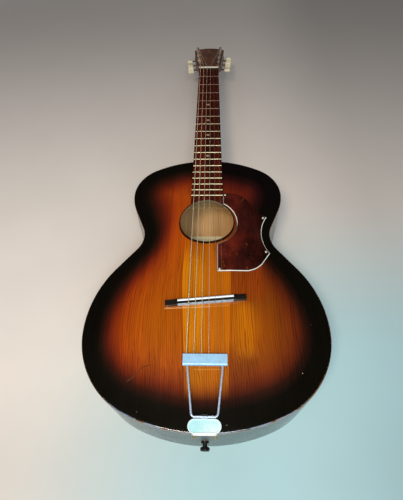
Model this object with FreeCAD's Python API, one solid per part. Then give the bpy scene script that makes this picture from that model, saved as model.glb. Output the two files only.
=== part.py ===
import FreeCAD, Part
import math
import os

from FreeCAD import Placement, Rotation, Vector

# An archtop guitar lying on its back, in millimetres: +Z up out of the top, +Y towards the head.
# The origin is on the flat back, on the centre line, halfway along the body. Treble is +X.

# Body outline: places along the body are shares of its length, measured from the tail
BODY_LENGTH = 472.0
LOWER_BOUT = 349.6
WAIST = 206.6
UPPER_BOUT = 259.0
LOWER_BOUT_AT_SHARE = 0.286
WAIST_AT_SHARE = 0.6335
UPPER_BOUT_AT_SHARE = 0.822
BODY_DEPTH = 108.0
TAIL_CORNER_SHARE = 0.926
LOWER_SHOULDER_SHARE = 0.73
WAIST_LOW_SHARE = 0.20
WAIST_HIGH_SHARE = 0.25
UPPER_SIDE_SHARE = 0.556
NECK_SHOULDER_SHARE = 0.81
OUTLINE_SAMPLES = 240

# Plates, sides and what lies inside
TOP_WALL = 4.0
BACK_WALL = 3.0
SIDE_WALL = 2.2
LINING_WIDTH = 6.0
LINING_HEIGHT = 14.0
NECK_BLOCK_WIDTH = 76.0
NECK_BLOCK_LENGTH = 30.0
TAIL_BLOCK_WIDTH = 70.0
TAIL_BLOCK_LENGTH = 24.0
BRACE_WIDTH = 8.0
BRACE_HEIGHT = 13.0
BRACE_CLEAR = 0.5
BACK_BRACE_WIDTH = 12.0
BACK_BRACE_FIRST_SHARE = 0.159
BACK_BRACE_SPACING_SHARE = 0.1986
BACK_BRACE_COUNT = 4
CROSS_BRACE_CLEAR = 9.0
TONE_BAR_WIDTH = 7.0
TONE_BAR_HEIGHT = 11.0
TONE_BAR_FROM_TAIL = 52.152
TONE_BAR_HEAD_X = 26.0
TONE_BAR_TAIL_X = 44.0
TONE_BAR_CLEAR = 6.0

# Arch of the top
ARCH_RISE = 12.5
ARCH_MARGIN = 6.0
ARCH_RUN = 95.0
ARCH_PEAK_SHARE = 0.3665
ARCH_TAIL_SPAN_SHARE = 0.4025
ARCH_NECK_SPAN_SHARE = 0.699
ARCH_GRID_MARGIN = 24.0
ARCH_GRID_STEPS_X = 26
ARCH_GRID_STEPS_Y = 34
SOUNDHOLE_WIDTH = 88.6
SOUNDHOLE_FROM_NECK = 147.0

# Neck: its own frame starts at the fret at the body, on the board's surface, with +Y towards the head
SCALE_LENGTH = 628.65
FRET_COUNT = 18
BODY_FRET = 12
OCTAVE_FRETS = 12
DOT_FRETS = (5, 7, 9, 12)
BODY_FRET_INSET = 4.0
NECK_ANGLE = 2.0
BOARD_RISE = 8.0
BOARD_THICKNESS = 6.0
BOARD_OVERHANG = 5.0
BOARD_CORNER_REACH = 34.0
NUT_WIDTH = 44.5
BODY_FRET_WIDTH = 52.3
NUT_LENGTH = 5.0
NUT_HEIGHT = 2.3
NUT_SLOPE = 1.2
NECK_DEPTH_AT_NUT = 15.0
NECK_DEPTH_AT_BODY = 19.0
HEEL_BOTTOM = 14.0
HEEL_TOP_LENGTH = 66.0
HEEL_MIDDLE_LENGTH = 30.0
HEEL_MIDDLE_WIDTH = 34.0
HEEL_BOTTOM_LENGTH = 17.0
HEEL_BOTTOM_WIDTH = 24.0
HEEL_MIDDLE_DROP = 34.0
HEEL_TOP_DROP = 4.0
HEEL_STRAIGHT_SHARE = 0.62
HEEL_FRONT_SHARE = 0.95
TENON_LENGTH = 17.0
TENON_ROOT_WIDTH = 18.0
TENON_END_WIDTH = 24.0
TENON_BOTTOM = 30.0
ROD_WIDTH = 6.0
ROD_HEIGHT = 9.0
ROD_START = 12.0
ROD_END_CLEAR = 14.0
FRET_WIDTH = 2.2
FRET_CROWN = 1.1
FRET_TANG_WIDTH = 0.5
FRET_TANG_DEPTH = 1.8
FRET_END_INSET = 0.4
DOT_WIDTH = 6.0
DOT_DEPTH = 1.5

# Headstock: its own frame starts behind the nut, on the face
HEAD_TILT = 12.0
HEAD_FACE_DROP = 4.0
HEAD_THICKNESS = 14.5
HEAD_LENGTH = 160.0
HEAD_CORNER_SHARE = 0.892
HEAD_END_WIDTH = 76.0
HEAD_BASE_WIDTH = 58.0
HEAD_FLARE_FROM = 10.0
HEAD_FLARE = 25.0
HEAD_ROOT = 14.0
HEAD_CORNER_ROUND = 6.0
HEAD_BASE_ROUND = 5.0

# Bridge
BRIDGE_SHORT_OF_SCALE = 19.5
BRIDGE_SLANT = 5.3
BRIDGE_LENGTH = 116.5
BRIDGE_DEPTH = 8.0
BRIDGE_END_HEIGHT = 6.0
BRIDGE_END_LENGTH = 12.0
BRIDGE_STEP_LENGTH = 6.0
RIDGE_BEVEL = 2.0
RIDGE_BEVEL_DROP = 3.0
SADDLE_LENGTH = 80.0
SADDLE_THICKNESS = 3.0
SADDLE_STAND = 1.4
SADDLE_SEAT = 3.5
SADDLE_NOTCH = 0.35

# Strings, from the thickest to the thinnest
STRING_WIDTHS = (1.35, 1.07, 0.81, 0.61, 0.41, 0.30)
NUT_SPAN = 38.5
SADDLE_SPAN = 47.6
BAR_SPAN = 50.0
STRING_AT_NUT = 1.3
STRING_ACTION = 2.4
STRING_BEND = 8.0
STRING_CLEAR = 0.06
BALL_WIDTH = 3.6
BALL_LENGTH = 4.0
WIND_TURNS = 3
WIND_GAP = 0.25
WIND_SPACE = 0.5
WIND_HEIGHT = 8.6
QUARTERS = 4

# Pickguard: places along the body are measured from the soundhole's centre
GUARD_THICKNESS = 2.0
GUARD_GAP = 0.1
GUARD_BOARD_CLEAR = 0.6
GUARD_HOLE_CLEAR = 3.0
GUARD_RING_X = 2.7
GUARD_RING_DROP = 4.4
GUARD_LEFT_X = 16.8
GUARD_TOP_AT = 60.0
GUARD_HORN_X = 100.5
GUARD_UPPER_HORN_AT = 10.0
GUARD_LOWER_HORN_AT = -62.5
GUARD_WAIST_X = 89.5
GUARD_WAIST_AT = -25.0
GUARD_BOTTOM_AT = -102.0
GUARD_CROWN_X = 40.0
GUARD_SHOULDER_X = 64.0
GUARD_SHOULDER_AT = 51.0
GUARD_NECK_X = 75.0
GUARD_NECK_AT = 36.0
GUARD_DIP_X = 87.0
GUARD_DIP_AT = 19.2
GUARD_FOOT_X = 62.0
GUARD_TOE_X = 79.8
GUARD_TOE_AT = -91.3
GUARD_HEEL_X = 90.0
GUARD_HEEL_AT = -78.8
GUARD_SCREW_INSET = 3.4
GUARD_HORN_SCREW_INSET = 6.4
GUARD_HORN_SCREW_SHIFT = 2.2
GUARD_SCREW_HEAD = 4.2
GUARD_SCREW_DOME = 1.3
GUARD_SCREW_SHANK = 2.0
GUARD_SCREW_LENGTH = 5.6

# Trapeze tailpiece: its moving frame starts at the hinge, with +Y up the wire towards the saddle
SHEET = 1.3
WIRE_WIDTH = 2.8
WIRE_HINGE_WIDTH = 33.0
WIRE_BAR_WIDTH = 47.4
WIRE_CORNER = 4.5
WIRE_TURN_IN = 12.0
WIRE_LENGTH_SHARE = 0.4167
HINGE_AT = 19.6
HINGE_CLEAR = 0.15
HOOK_WIDTH = 8.0
HOOK_LIP = 1.5
BAR_WIDTH = 58.8
BAR_DEPTH = 12.4
BAR_LIP = 3.6
BAR_ROLL_CLEAR = 0.05
BAR_STRING_DROP = 1.0
BAR_LEG_CLEAR = 0.6
BAR_HOLE_CLEAR = 1.0
BALL_GAP = 0.3
OVAL_WIDTH = 41.8
OVAL_DEPTH = 17.6
OVAL_RIM = 1.6
OVAL_RIM_HEIGHT = 0.8
TAB_WIDTH = 34.0
TAB_FOOT_WIDTH = 18.0
TAB_SHOULDER = 17.0
TAB_FOOT_LENGTH = 9.0
BRACKET_SCREW_X = 13.2
BRACKET_SCREW_DROP = 11.0
BRACKET_SCREW_HEAD = 5.6
BRACKET_SCREW_DOME = 1.8
BRACKET_SCREW_SHANK = 3.0
BRACKET_SCREW_LENGTH = 18.0

# End pin, turned about an axis out of the tail
PIN_DROP = 47.0
PIN_PEG_WIDTH = 8.4
PIN_PEG_LENGTH = 22.0
PIN_COLLAR_WIDTH = 10.6
PIN_COLLAR_LENGTH = 3.0
PIN_NECK_WIDTH = 6.4
PIN_NECK_LENGTH = 3.6
PIN_KNOB_WIDTH = 12.8
PIN_KNOB_LENGTH = 5.4
PIN_KNOB_BAND = 1.8
PIN_FACE_WIDTH = 7.0

# Tuners: each has a frame at its post, with +X out to the button and +Y along its plate
POST_FIRST_SHARE = 0.278
POST_SPACING_SHARE = 0.2163
POST_FIRST_X = 23.0
POST_WIDTH = 6.0
POST_HEIGHT = 14.5
POST_HOLE = 1.8
POST_HOLE_DROP = 3.0
POST_FIT = 0.04
BUSHING_WIDTH = 8.6
BUSHING_FLANGE = 11.0
BUSHING_FLANGE_HEIGHT = 1.0
BUSHING_LENGTH = 7.0
PLATE_THICKNESS = 1.2
PLATE_WIDTH = 15.0
PLATE_INNER = 6.5
PLATE_END = 15.0
GEAR_TEETH = 14
GEAR_MODULE = 0.7
GEAR_ADDENDUM = 0.7
GEAR_DEDENDUM = 0.9
GEAR_TIP = 0.45
GEAR_ROOT_TOOTH = 1.25
GEAR_WIDTH = 4.2
GEAR_DROP = 3.7
GEAR_SCREW_HEAD = 4.6
GEAR_SCREW_HEIGHT = 1.2
GEAR_SCREW_SLOT = 0.8
GEAR_SCREW_SLOT_DEPTH = 0.6
WORM_PITCH_WIDTH = 5.2
WORM_ADDENDUM = 0.65
WORM_DEDENDUM = 0.75
WORM_TIP = 0.45
WORM_ROOT_THREAD = 1.1
WORM_SINK = 0.2
WORM_TURNS = 3
WORM_CLEAR = 0.1
SHAFT_WIDTH = 3.2
EAR_THICKNESS = 1.4
EAR_WIDTH = 7.0
EAR_EDGE = 2.0
EAR_GAP = 0.3
BUTTON_CENTRE = 21.0
BUTTON_LENGTH = 14.0
BUTTON_WIDTH = 15.5
BUTTON_THICKNESS = 7.0
BUTTON_ROUND = 3.2
BUTTON_BORE_SHARE = 0.7
BUTTON_TURNS = (90.0, 0.0, 0.0, 90.0, 90.0, 0.0)
PLATE_SCREW_HEAD = 4.4
PLATE_SCREW_DOME = 1.4
PLATE_SCREW_SHANK = 2.2
PLATE_SCREW_LENGTH = 9.0

# Fits and cuts
FIT = 0.05
OVERRUN = 2.0

# Levels and places that follow from the sizes above
TAIL = -BODY_LENGTH / 2
NECK_END = BODY_LENGTH / 2
BODY_FRET_Y = NECK_END - BODY_FRET_INSET
HALF_SCALE = SCALE_LENGTH / 2
BOARD_LEVEL = BODY_DEPTH + BOARD_RISE
SOUNDHOLE_Y = NECK_END - SOUNDHOLE_FROM_NECK
BRIDGE_Y = BODY_FRET_Y - HALF_SCALE + BRIDGE_SHORT_OF_SCALE
HINGE_Y = TAIL + HINGE_AT
WIRE_LENGTH = WIRE_LENGTH_SHARE * (BRIDGE_Y - HINGE_Y)
LOWER_BOUT_AT = LOWER_BOUT_AT_SHARE * BODY_LENGTH
WAIST_AT = WAIST_AT_SHARE * BODY_LENGTH
UPPER_BOUT_AT = UPPER_BOUT_AT_SHARE * BODY_LENGTH
ARCH_PEAK_AT = ARCH_PEAK_SHARE * BODY_LENGTH
ARCH_TAIL_SPAN = ARCH_TAIL_SPAN_SHARE * BODY_LENGTH
ARCH_NECK_SPAN = ARCH_NECK_SPAN_SHARE * BODY_LENGTH
BACK_BRACE_FIRST_AT = BACK_BRACE_FIRST_SHARE * BODY_LENGTH
BACK_BRACE_SPACING = BACK_BRACE_SPACING_SHARE * BODY_LENGTH
HEAD_CORNER_AT = HEAD_CORNER_SHARE * HEAD_LENGTH
POST_FIRST_AT = POST_FIRST_SHARE * HEAD_LENGTH
POST_SPACING = POST_SPACING_SHARE * HEAD_LENGTH
STRING_COUNT = len(STRING_WIDTHS)
ORIGIN = Vector(0, 0, 0)
X_AXIS = Vector(1, 0, 0)
Y_AXIS = Vector(0, 1, 0)
Z_AXIS = Vector(0, 0, 1)

NECK_FRAME = Placement(Vector(0, BODY_FRET_Y, BOARD_LEVEL), Rotation(X_AXIS, -NECK_ANGLE))
HEAD_FRAME = NECK_FRAME.multiply(
    Placement(Vector(0, HALF_SCALE + NUT_LENGTH, -HEAD_FACE_DROP), Rotation(X_AXIS, -HEAD_TILT)))
BRIDGE_FRAME = Placement(Vector(0, BRIDGE_Y, BODY_DEPTH), Rotation(Z_AXIS, BRIDGE_SLANT))


# Simple solids
def span(width):
    """Low and high end of a width about zero."""
    return (-width / 2, width / 2)


def box(x_ends, y_ends, z_ends):
    """Box between pairs of low and high ends."""
    corner = Vector(x_ends[0], y_ends[0], z_ends[0])
    sizes = [ends[1] - ends[0] for ends in (x_ends, y_ends, z_ends)]
    return Part.makeBox(sizes[0], sizes[1], sizes[2], corner)


def rod(width, start, end):
    """Round bar of a given diameter from one point to another."""
    along = end - start
    return Part.makeCylinder(width / 2, along.Length, start, along)


def polygon(points):
    """Closed wire of straight edges."""
    return Part.makePolygon(list(points) + [points[0]])


def prism(wire, low, high):
    """Wire in the XY plane, filled and drawn up between two heights."""
    face = Part.Face(wire)
    face.translate(Vector(0, 0, low))
    return face.extrude(Vector(0, 0, high - low))


def placed(shape, frame):
    """Copy of a shape, moved from a local frame."""
    copy = shape.copy()
    copy.Placement = frame.multiply(copy.Placement)
    return copy


def fuse(shapes):
    """One solid from several that touch or overlap."""
    whole = shapes[0].multiFuse(list(shapes[1:]))
    return whole.removeSplitter()


def mirrored(shape):
    """Copy of a shape on the other side of the centre line."""
    return shape.mirror(ORIGIN, X_AXIS)


def domed_screw(head, dome, shank, length):
    """Screw on the Z axis: a round-topped head above zero with a plain shank below it."""
    radius = ((head / 2) ** 2 + dome ** 2) / (2 * dome)
    ball = Part.makeSphere(radius, Vector(0, 0, dome - radius))
    cap = ball.common(rod(head, ORIGIN, Vector(0, 0, 2 * dome)))
    stem = rod(shank, Vector(0, 0, -length), ORIGIN)
    return fuse([cap, stem])


# Body outline
def end_radius(inset, reach, corner):
    """Radius of the arc across an end of the body that a corner arc runs into."""
    return (inset ** 2 + reach ** 2 - corner ** 2) / (2 * (reach - corner))


def curve_sum(step, rise):
    """Sum of the two radii that join two widths with no straight run between."""
    return (step ** 2 + rise ** 2) / (2 * step)


def curve_turn(step, rise, convex, concave):
    """Angle that each arc of a bout and of the waist turns before their straight run."""
    across = convex + concave - step
    apart = math.hypot(across, rise)
    return math.atan2(rise, across) - math.acos((convex + concave) / apart)


def outline_arcs():
    """Arcs of the treble half from tail to neck: centre, radius, sign of the bend, two angles."""
    low, waist, high = LOWER_BOUT / 2, WAIST / 2, UPPER_BOUT / 2
    low_y, waist_y, high_y = TAIL + LOWER_BOUT_AT, TAIL + WAIST_AT, TAIL + UPPER_BOUT_AT
    corner = TAIL_CORNER_SHARE * LOWER_BOUT_AT
    tail = end_radius(low - corner, LOWER_BOUT_AT, corner)
    tail_turn = math.atan2(low_y - TAIL - tail, low - corner)
    low_sum = curve_sum(low - waist, waist_y - low_y)
    low_side = LOWER_SHOULDER_SHARE * low_sum
    waist_low = WAIST_LOW_SHARE * low_sum
    low_turn = curve_turn(low - waist, waist_y - low_y, low_side, waist_low)
    high_sum = curve_sum(high - waist, high_y - waist_y)
    high_side = UPPER_SIDE_SHARE * high_sum
    waist_high = WAIST_HIGH_SHARE * high_sum
    high_turn = curve_turn(high - waist, high_y - waist_y, high_side, waist_high)
    reach = NECK_END - high_y
    shoulder = NECK_SHOULDER_SHARE * reach
    neck = end_radius(high - shoulder, reach, shoulder)
    neck_turn = math.atan2(high_y - NECK_END + neck, high - shoulder)
    return [
        (Vector(0, TAIL + tail, 0), tail, 1, -math.pi / 2, tail_turn),
        (Vector(low - corner, low_y, 0), corner, 1, tail_turn, 0),
        (Vector(low - low_side, low_y, 0), low_side, 1, 0, low_turn),
        (Vector(waist + waist_low, waist_y, 0), waist_low, -1, math.pi, math.pi + low_turn),
        (Vector(waist + waist_high, waist_y, 0), waist_high, -1, math.pi - high_turn, math.pi),
        (Vector(high - high_side, high_y, 0), high_side, 1, -high_turn, 0),
        (Vector(high - shoulder, high_y, 0), shoulder, 1, 0, neck_turn),
        (Vector(0, NECK_END - neck, 0), neck, 1, neck_turn, math.pi / 2),
    ]


def half_outline(inset):
    """Edges of the treble half of the body outline, moved in by an inset."""
    arcs = []
    for centre, radius, bend, start, end in outline_arcs():
        circle = Part.Circle(centre, Z_AXIS, radius - bend * inset)
        arcs.append(Part.Arc(circle, start, end))
    low_run = Part.makeLine(arcs[2].EndPoint, arcs[3].EndPoint)
    high_run = Part.makeLine(arcs[4].StartPoint, arcs[5].StartPoint)
    edges = [curve.toShape() for curve in arcs]
    return edges + [low_run, high_run]


def body_outline(inset=0.0):
    """Closed wire of the body outline, moved in by an inset."""
    half = half_outline(inset)
    edges = half + [mirrored(edge) for edge in half]
    return Part.Wire(Part.__sortEdges__(edges))


# Arch of the top
OUTLINE_POINTS = body_outline().discretize(2 * OUTLINE_SAMPLES)
OUTLINE_FACE = Part.Face(body_outline())


def arch_height(x, y):
    """Height of the top above its edge: a smooth step in from the edge, fading to both ends."""
    place = Vector(x, y, 0)
    if not OUTLINE_FACE.isInside(place, FIT, True):
        return 0.0
    inset = min(place.distanceToPoint(point) for point in OUTLINE_POINTS)
    step = min(max((inset - ARCH_MARGIN) / ARCH_RUN, 0.0), 1.0)
    along = y - TAIL - ARCH_PEAK_AT
    reach = ARCH_NECK_SPAN if along > 0 else ARCH_TAIL_SPAN
    fade = math.cos(math.pi / 2 * along / reach) ** 2
    return ARCH_RISE * step ** 2 * (3 - 2 * step) * fade


def arch_face():
    """Arched surface of the top, over and a little past the outline."""
    half_x = LOWER_BOUT / 2 + ARCH_GRID_MARGIN
    half_y = BODY_LENGTH / 2 + ARCH_GRID_MARGIN
    rows = []
    for i in range(ARCH_GRID_STEPS_X + 1):
        x = half_x * (2 * i / ARCH_GRID_STEPS_X - 1)
        row = []
        for j in range(ARCH_GRID_STEPS_Y + 1):
            y = half_y * (2 * j / ARCH_GRID_STEPS_Y - 1)
            row.append(Vector(x, y, BODY_DEPTH + arch_height(x, y)))
        rows.append(row)
    surface = Part.BSplineSurface()
    surface.interpolate(rows)
    return surface.toShape()


ARCH_FACE = arch_face()


def under_arch(lift):
    """Everything below the arched surface raised by a lift."""
    face = ARCH_FACE.copy()
    face.translate(Vector(0, 0, lift))
    return face.extrude(Vector(0, 0, -2 * BODY_DEPTH))


OUTER = under_arch(0)
INNER = under_arch(-TOP_WALL)
ARCH_CEILING = BODY_DEPTH + 2 * ARCH_RISE


# Soundbox
def tenon(clear):
    """Dovetail of the neck, widened by a clearance; it stands open at the top."""
    root = TENON_ROOT_WIDTH / 2 + clear
    end = TENON_END_WIDTH / 2 + clear
    mouth_y = NECK_END + OVERRUN
    end_y = NECK_END - TENON_LENGTH - clear
    corners = [Vector(-root, mouth_y, 0), Vector(root, mouth_y, 0),
               Vector(end, end_y, 0), Vector(-end, end_y, 0)]
    return prism(polygon(corners), TENON_BOTTOM - clear, BODY_DEPTH + BOARD_RISE - BOARD_THICKNESS)


MORTISE = tenon(FIT)


def tail_bores():
    """Holes for the end pin and the two bracket screws, through whatever stands at the tail."""
    outside = TAIL - OVERRUN - SHEET
    pin_inside = TAIL + PIN_PEG_LENGTH + FIT
    z = BODY_DEPTH - PIN_DROP
    bores = [rod(PIN_PEG_WIDTH + 2 * FIT, Vector(0, outside, z), Vector(0, pin_inside, z))]
    for side in (-1, 1):
        x = side * BRACKET_SCREW_X
        z = BODY_DEPTH - BRACKET_SCREW_DROP
        end = TAIL + BRACKET_SCREW_LENGTH + FIT
        bores.append(rod(BRACKET_SCREW_SHANK + 2 * FIT, Vector(x, outside, z), Vector(x, end, z)))
    return Part.makeCompound(bores)


TAIL_BORES = tail_bores()
SOUNDHOLE = rod(SOUNDHOLE_WIDTH, Vector(0, SOUNDHOLE_Y, 0), Vector(0, SOUNDHOLE_Y, ARCH_CEILING))


def guard_screw_places():
    """Centres of the four pickguard screws."""
    edge = board_width(SOUNDHOLE_Y + GUARD_TOP_AT - BODY_FRET_Y) / 2 + GUARD_BOARD_CLEAR
    horn_x = GUARD_HORN_X - GUARD_HORN_SCREW_INSET
    return [
        Vector(edge + GUARD_SCREW_INSET, SOUNDHOLE_Y + GUARD_TOP_AT - GUARD_SCREW_INSET, 0),
        Vector(horn_x, SOUNDHOLE_Y + GUARD_UPPER_HORN_AT - GUARD_HORN_SCREW_SHIFT, 0),
        Vector(horn_x, SOUNDHOLE_Y + GUARD_LOWER_HORN_AT + GUARD_HORN_SCREW_SHIFT, 0),
        Vector(GUARD_LEFT_X + GUARD_SCREW_INSET, SOUNDHOLE_Y + GUARD_BOTTOM_AT + GUARD_SCREW_INSET, 0),
    ]


def guard_screw_level(place):
    """Height of a pickguard screw's seat, on the guard's face at the screw's centre."""
    return BODY_DEPTH + arch_height(place.x, place.y) + GUARD_GAP + GUARD_THICKNESS


def guard_seats():
    """Room for the screw heads above their flat seats in the pickguard."""
    seats = []
    for place in guard_screw_places():
        seat = place + Vector(0, 0, guard_screw_level(place))
        seats.append(rod(GUARD_SCREW_HEAD + 2 * FIT, seat, seat + Vector(0, 0, GUARD_THICKNESS)))
    return Part.makeCompound(seats)


def guard_bores():
    """Holes for the pickguard screws, right through the guard and the top."""
    bores = []
    for place in guard_screw_places():
        low = place + Vector(0, 0, BODY_DEPTH - 2 * TOP_WALL)
        high = place + Vector(0, 0, ARCH_CEILING)
        bores.append(rod(GUARD_SCREW_SHANK + 2 * FIT, low, high))
    return Part.makeCompound(bores)


def top_plate():
    """Arched top with its soundhole, the mouth of the dovetail and the screw holes."""
    blank = prism(body_outline(), BODY_DEPTH - 2 * TOP_WALL, ARCH_CEILING)
    plate = blank.common(OUTER).cut(INNER)
    return plate.cut(SOUNDHOLE).cut(MORTISE).cut(guard_bores())


def back_plate():
    """Flat back."""
    return prism(body_outline(), 0, BACK_WALL)


def half_space(side):
    """Box over one side of the centre line that holds half of the body."""
    x_ends = (0, LOWER_BOUT) if side > 0 else (-LOWER_BOUT, 0)
    return box(x_ends, (-BODY_LENGTH, BODY_LENGTH), (0, ARCH_CEILING))


def hoop(outer_inset, inner_inset, low, high):
    """Ring between two insets of the outline."""
    return prism(body_outline(outer_inset), low, high).cut(prism(body_outline(inner_inset), low, high))


def side_wall(side):
    """One bent side, from the middle of the tail to the middle of the neck end."""
    ring = hoop(0, SIDE_WALL, BACK_WALL, BODY_DEPTH)
    return ring.common(INNER).common(half_space(side)).cut(MORTISE).cut(TAIL_BORES)


def block_blank(width, y_ends):
    """Block between the back and the top, shaped to the inside of the sides."""
    blank = prism(body_outline(SIDE_WALL), BACK_WALL, ARCH_CEILING)
    return blank.common(box(span(width), y_ends, (0, ARCH_CEILING))).common(INNER)


def neck_block():
    """Block that takes the dovetail of the neck."""
    blank = block_blank(NECK_BLOCK_WIDTH, (NECK_END - NECK_BLOCK_LENGTH, NECK_END))
    return blank.cut(MORTISE)


def tail_block():
    """Block that takes the end pin and the bracket screws."""
    blank = block_blank(TAIL_BLOCK_WIDTH, (TAIL, TAIL + TAIL_BLOCK_LENGTH))
    return blank.cut(TAIL_BORES)


def block_gaps():
    """Room that the linings leave for the two blocks."""
    neck_ends = (NECK_END - NECK_BLOCK_LENGTH, NECK_END)
    tail_ends = (TAIL, TAIL + TAIL_BLOCK_LENGTH)
    tall = (0, ARCH_CEILING)
    return [box(span(NECK_BLOCK_WIDTH), neck_ends, tall), box(span(TAIL_BLOCK_WIDTH), tail_ends, tall)]


def back_linings():
    """Strips that glue the sides to the back, one for each side."""
    ring = hoop(SIDE_WALL, SIDE_WALL + LINING_WIDTH, BACK_WALL, BACK_WALL + LINING_HEIGHT)
    return ring.cut(Part.makeCompound(block_gaps()))


def top_linings():
    """Strips that glue the sides to the top, one for each side."""
    low = BODY_DEPTH - TOP_WALL - LINING_HEIGHT
    ring = hoop(SIDE_WALL, SIDE_WALL + LINING_WIDTH, low, BODY_DEPTH)
    return ring.common(INNER).cut(Part.makeCompound(block_gaps()))


def between_linings(low, high):
    """Room between the linings, between two heights."""
    return prism(body_outline(SIDE_WALL + LINING_WIDTH + BRACE_CLEAR), low, high)


def back_braces():
    """Bars across the back."""
    room = between_linings(BACK_WALL, BACK_WALL + BRACE_HEIGHT)
    braces = []
    for number in range(BACK_BRACE_COUNT):
        middle = TAIL + BACK_BRACE_FIRST_AT + number * BACK_BRACE_SPACING
        ends = (middle - BACK_BRACE_WIDTH / 2, middle + BACK_BRACE_WIDTH / 2)
        braces.append(room.common(box(span(LOWER_BOUT), ends, (0, BODY_DEPTH))))
    return Part.makeCompound([brace.Solids[0] for brace in braces])


def under_top(blank, height):
    """Part of a blank that hangs under the top by a height."""
    return blank.common(INNER).cut(under_arch(-TOP_WALL - height))


def cross_braces():
    """Two bars under the top, across it on either side of the soundhole."""
    room = between_linings(BODY_DEPTH / 2, ARCH_CEILING)
    reach = SOUNDHOLE_WIDTH / 2 + CROSS_BRACE_CLEAR
    braces = []
    for edge in (SOUNDHOLE_Y - reach - BRACE_WIDTH, SOUNDHOLE_Y + reach):
        bar = box(span(LOWER_BOUT), (edge, edge + BRACE_WIDTH), (BODY_DEPTH / 2, ARCH_CEILING))
        braces.append(under_top(room.common(bar), BRACE_HEIGHT).Solids[0])
    return Part.makeCompound(braces)


def tone_bars():
    """Two bars under the top that run from the cross brace past the bridge."""
    head_y = SOUNDHOLE_Y - SOUNDHOLE_WIDTH / 2 - CROSS_BRACE_CLEAR - BRACE_WIDTH - TONE_BAR_CLEAR
    tail_y = TAIL + TONE_BAR_FROM_TAIL
    half = TONE_BAR_WIDTH / 2
    bars = []
    for side in (-1, 1):
        head_x = side * TONE_BAR_HEAD_X
        tail_x = side * TONE_BAR_TAIL_X
        corners = [Vector(head_x - half, head_y, 0), Vector(head_x + half, head_y, 0),
                   Vector(tail_x + half, tail_y, 0), Vector(tail_x - half, tail_y, 0)]
        blank = prism(polygon(corners), BODY_DEPTH / 2, ARCH_CEILING)
        bars.append(under_top(blank, TONE_BAR_HEIGHT).Solids[0])
    return Part.makeCompound(bars)


# Neck and fretboard
def board_width(y):
    """Width of the fretboard at a place in the neck frame."""
    return BODY_FRET_WIDTH + (NUT_WIDTH - BODY_FRET_WIDTH) * y / HALF_SCALE


def fret_place(number):
    """Place of a fret in the neck frame."""
    return HALF_SCALE - SCALE_LENGTH * (1 - 2 ** (-number / OCTAVE_FRETS))


def board_blank(low, high, grow):
    """Tapered strip of the board's outline between two heights, in the neck frame."""
    end_y = SOUNDHOLE_Y + BOARD_CORNER_REACH / 2 - BODY_FRET_Y
    corners = []
    for side, y in ((-1, HALF_SCALE), (1, HALF_SCALE), (1, end_y), (-1, end_y)):
        corners.append(Vector(side * (board_width(y) / 2 + grow), y, 0))
    return prism(polygon(corners), low, high)


BOARD_END = rod(SOUNDHOLE_WIDTH - 2 * BOARD_OVERHANG, Vector(0, SOUNDHOLE_Y, BODY_DEPTH - OVERRUN),
                Vector(0, SOUNDHOLE_Y, ARCH_CEILING))


def fretboard():
    """Fretboard with its fret slots and dot holes, ending along the soundhole."""
    board = board_blank(-BOARD_THICKNESS, 0, 0)
    cuts = []
    for number in range(1, FRET_COUNT + 1):
        middle = fret_place(number)
        half = FRET_TANG_WIDTH / 2 + FIT
        depths = (-FRET_TANG_DEPTH - FIT, OVERRUN)
        cuts.append(box(span(2 * NUT_WIDTH), (middle - half, middle + half), depths))
    for place in dot_places():
        floor = place - Vector(0, 0, DOT_DEPTH + FIT)
        cuts.append(rod(DOT_WIDTH + 2 * FIT, floor, place + Vector(0, 0, OVERRUN)))
    return placed(board.cut(Part.makeCompound(cuts)), NECK_FRAME).cut(BOARD_END)


def dot_places():
    """Centres of the position dots, midway between their fret and the one before."""
    return [Vector(0, (fret_place(number) + fret_place(number - 1)) / 2, 0) for number in DOT_FRETS]


def position_dots():
    """Round dots let into the board, flush with it."""
    dots = [rod(DOT_WIDTH, place - Vector(0, 0, DOT_DEPTH), place) for place in dot_places()]
    return placed(Part.makeCompound(dots), NECK_FRAME)


def frets():
    """Frets, each with a round crown and a tang."""
    wires = []
    half = FRET_WIDTH / 2
    for number in range(1, FRET_COUNT + 1):
        y = fret_place(number)
        length = board_width(y) - 2 * FRET_END_INSET
        left = -length / 2
        start, top, end = Vector(left, y - half, 0), Vector(left, y, FRET_CROWN), Vector(left, y + half, 0)
        crown = Part.Face(Part.Wire([Part.Arc(start, top, end).toShape(), Part.makeLine(end, start)]))
        tang_ends = (y - FRET_TANG_WIDTH / 2, y + FRET_TANG_WIDTH / 2)
        tang = box(span(length), tang_ends, (-FRET_TANG_DEPTH, 0))
        wires.append(fuse([crown.extrude(Vector(length, 0, 0)), tang]))
    return placed(Part.makeCompound(wires), NECK_FRAME)


def shaft_section(y, depth):
    """Section of the neck under the board: flat above, round below."""
    half = board_width(y) / 2
    left, right = Vector(-half, y, -BOARD_THICKNESS), Vector(half, y, -BOARD_THICKNESS)
    low = Vector(0, y, -BOARD_THICKNESS - depth)
    return Part.Wire([Part.makeLine(left, right), Part.Arc(right, low, left).toShape()])


def heel_section(z, width, length):
    """Level section of the heel: square against the body, a little narrower and round towards the head."""
    half = width / 2
    narrow = HEEL_FRONT_SHARE * half
    back = NECK_END - OVERRUN
    front = back + HEEL_STRAIGHT_SHARE * length
    corners = [Vector(-narrow, front, z), Vector(-half, back, z), Vector(half, back, z), Vector(narrow, front, z)]
    tip = Part.Arc(corners[3], Vector(0, back + length, z), corners[0]).toShape()
    return Part.Wire(Part.makePolygon(corners).Edges + [tip])


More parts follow.
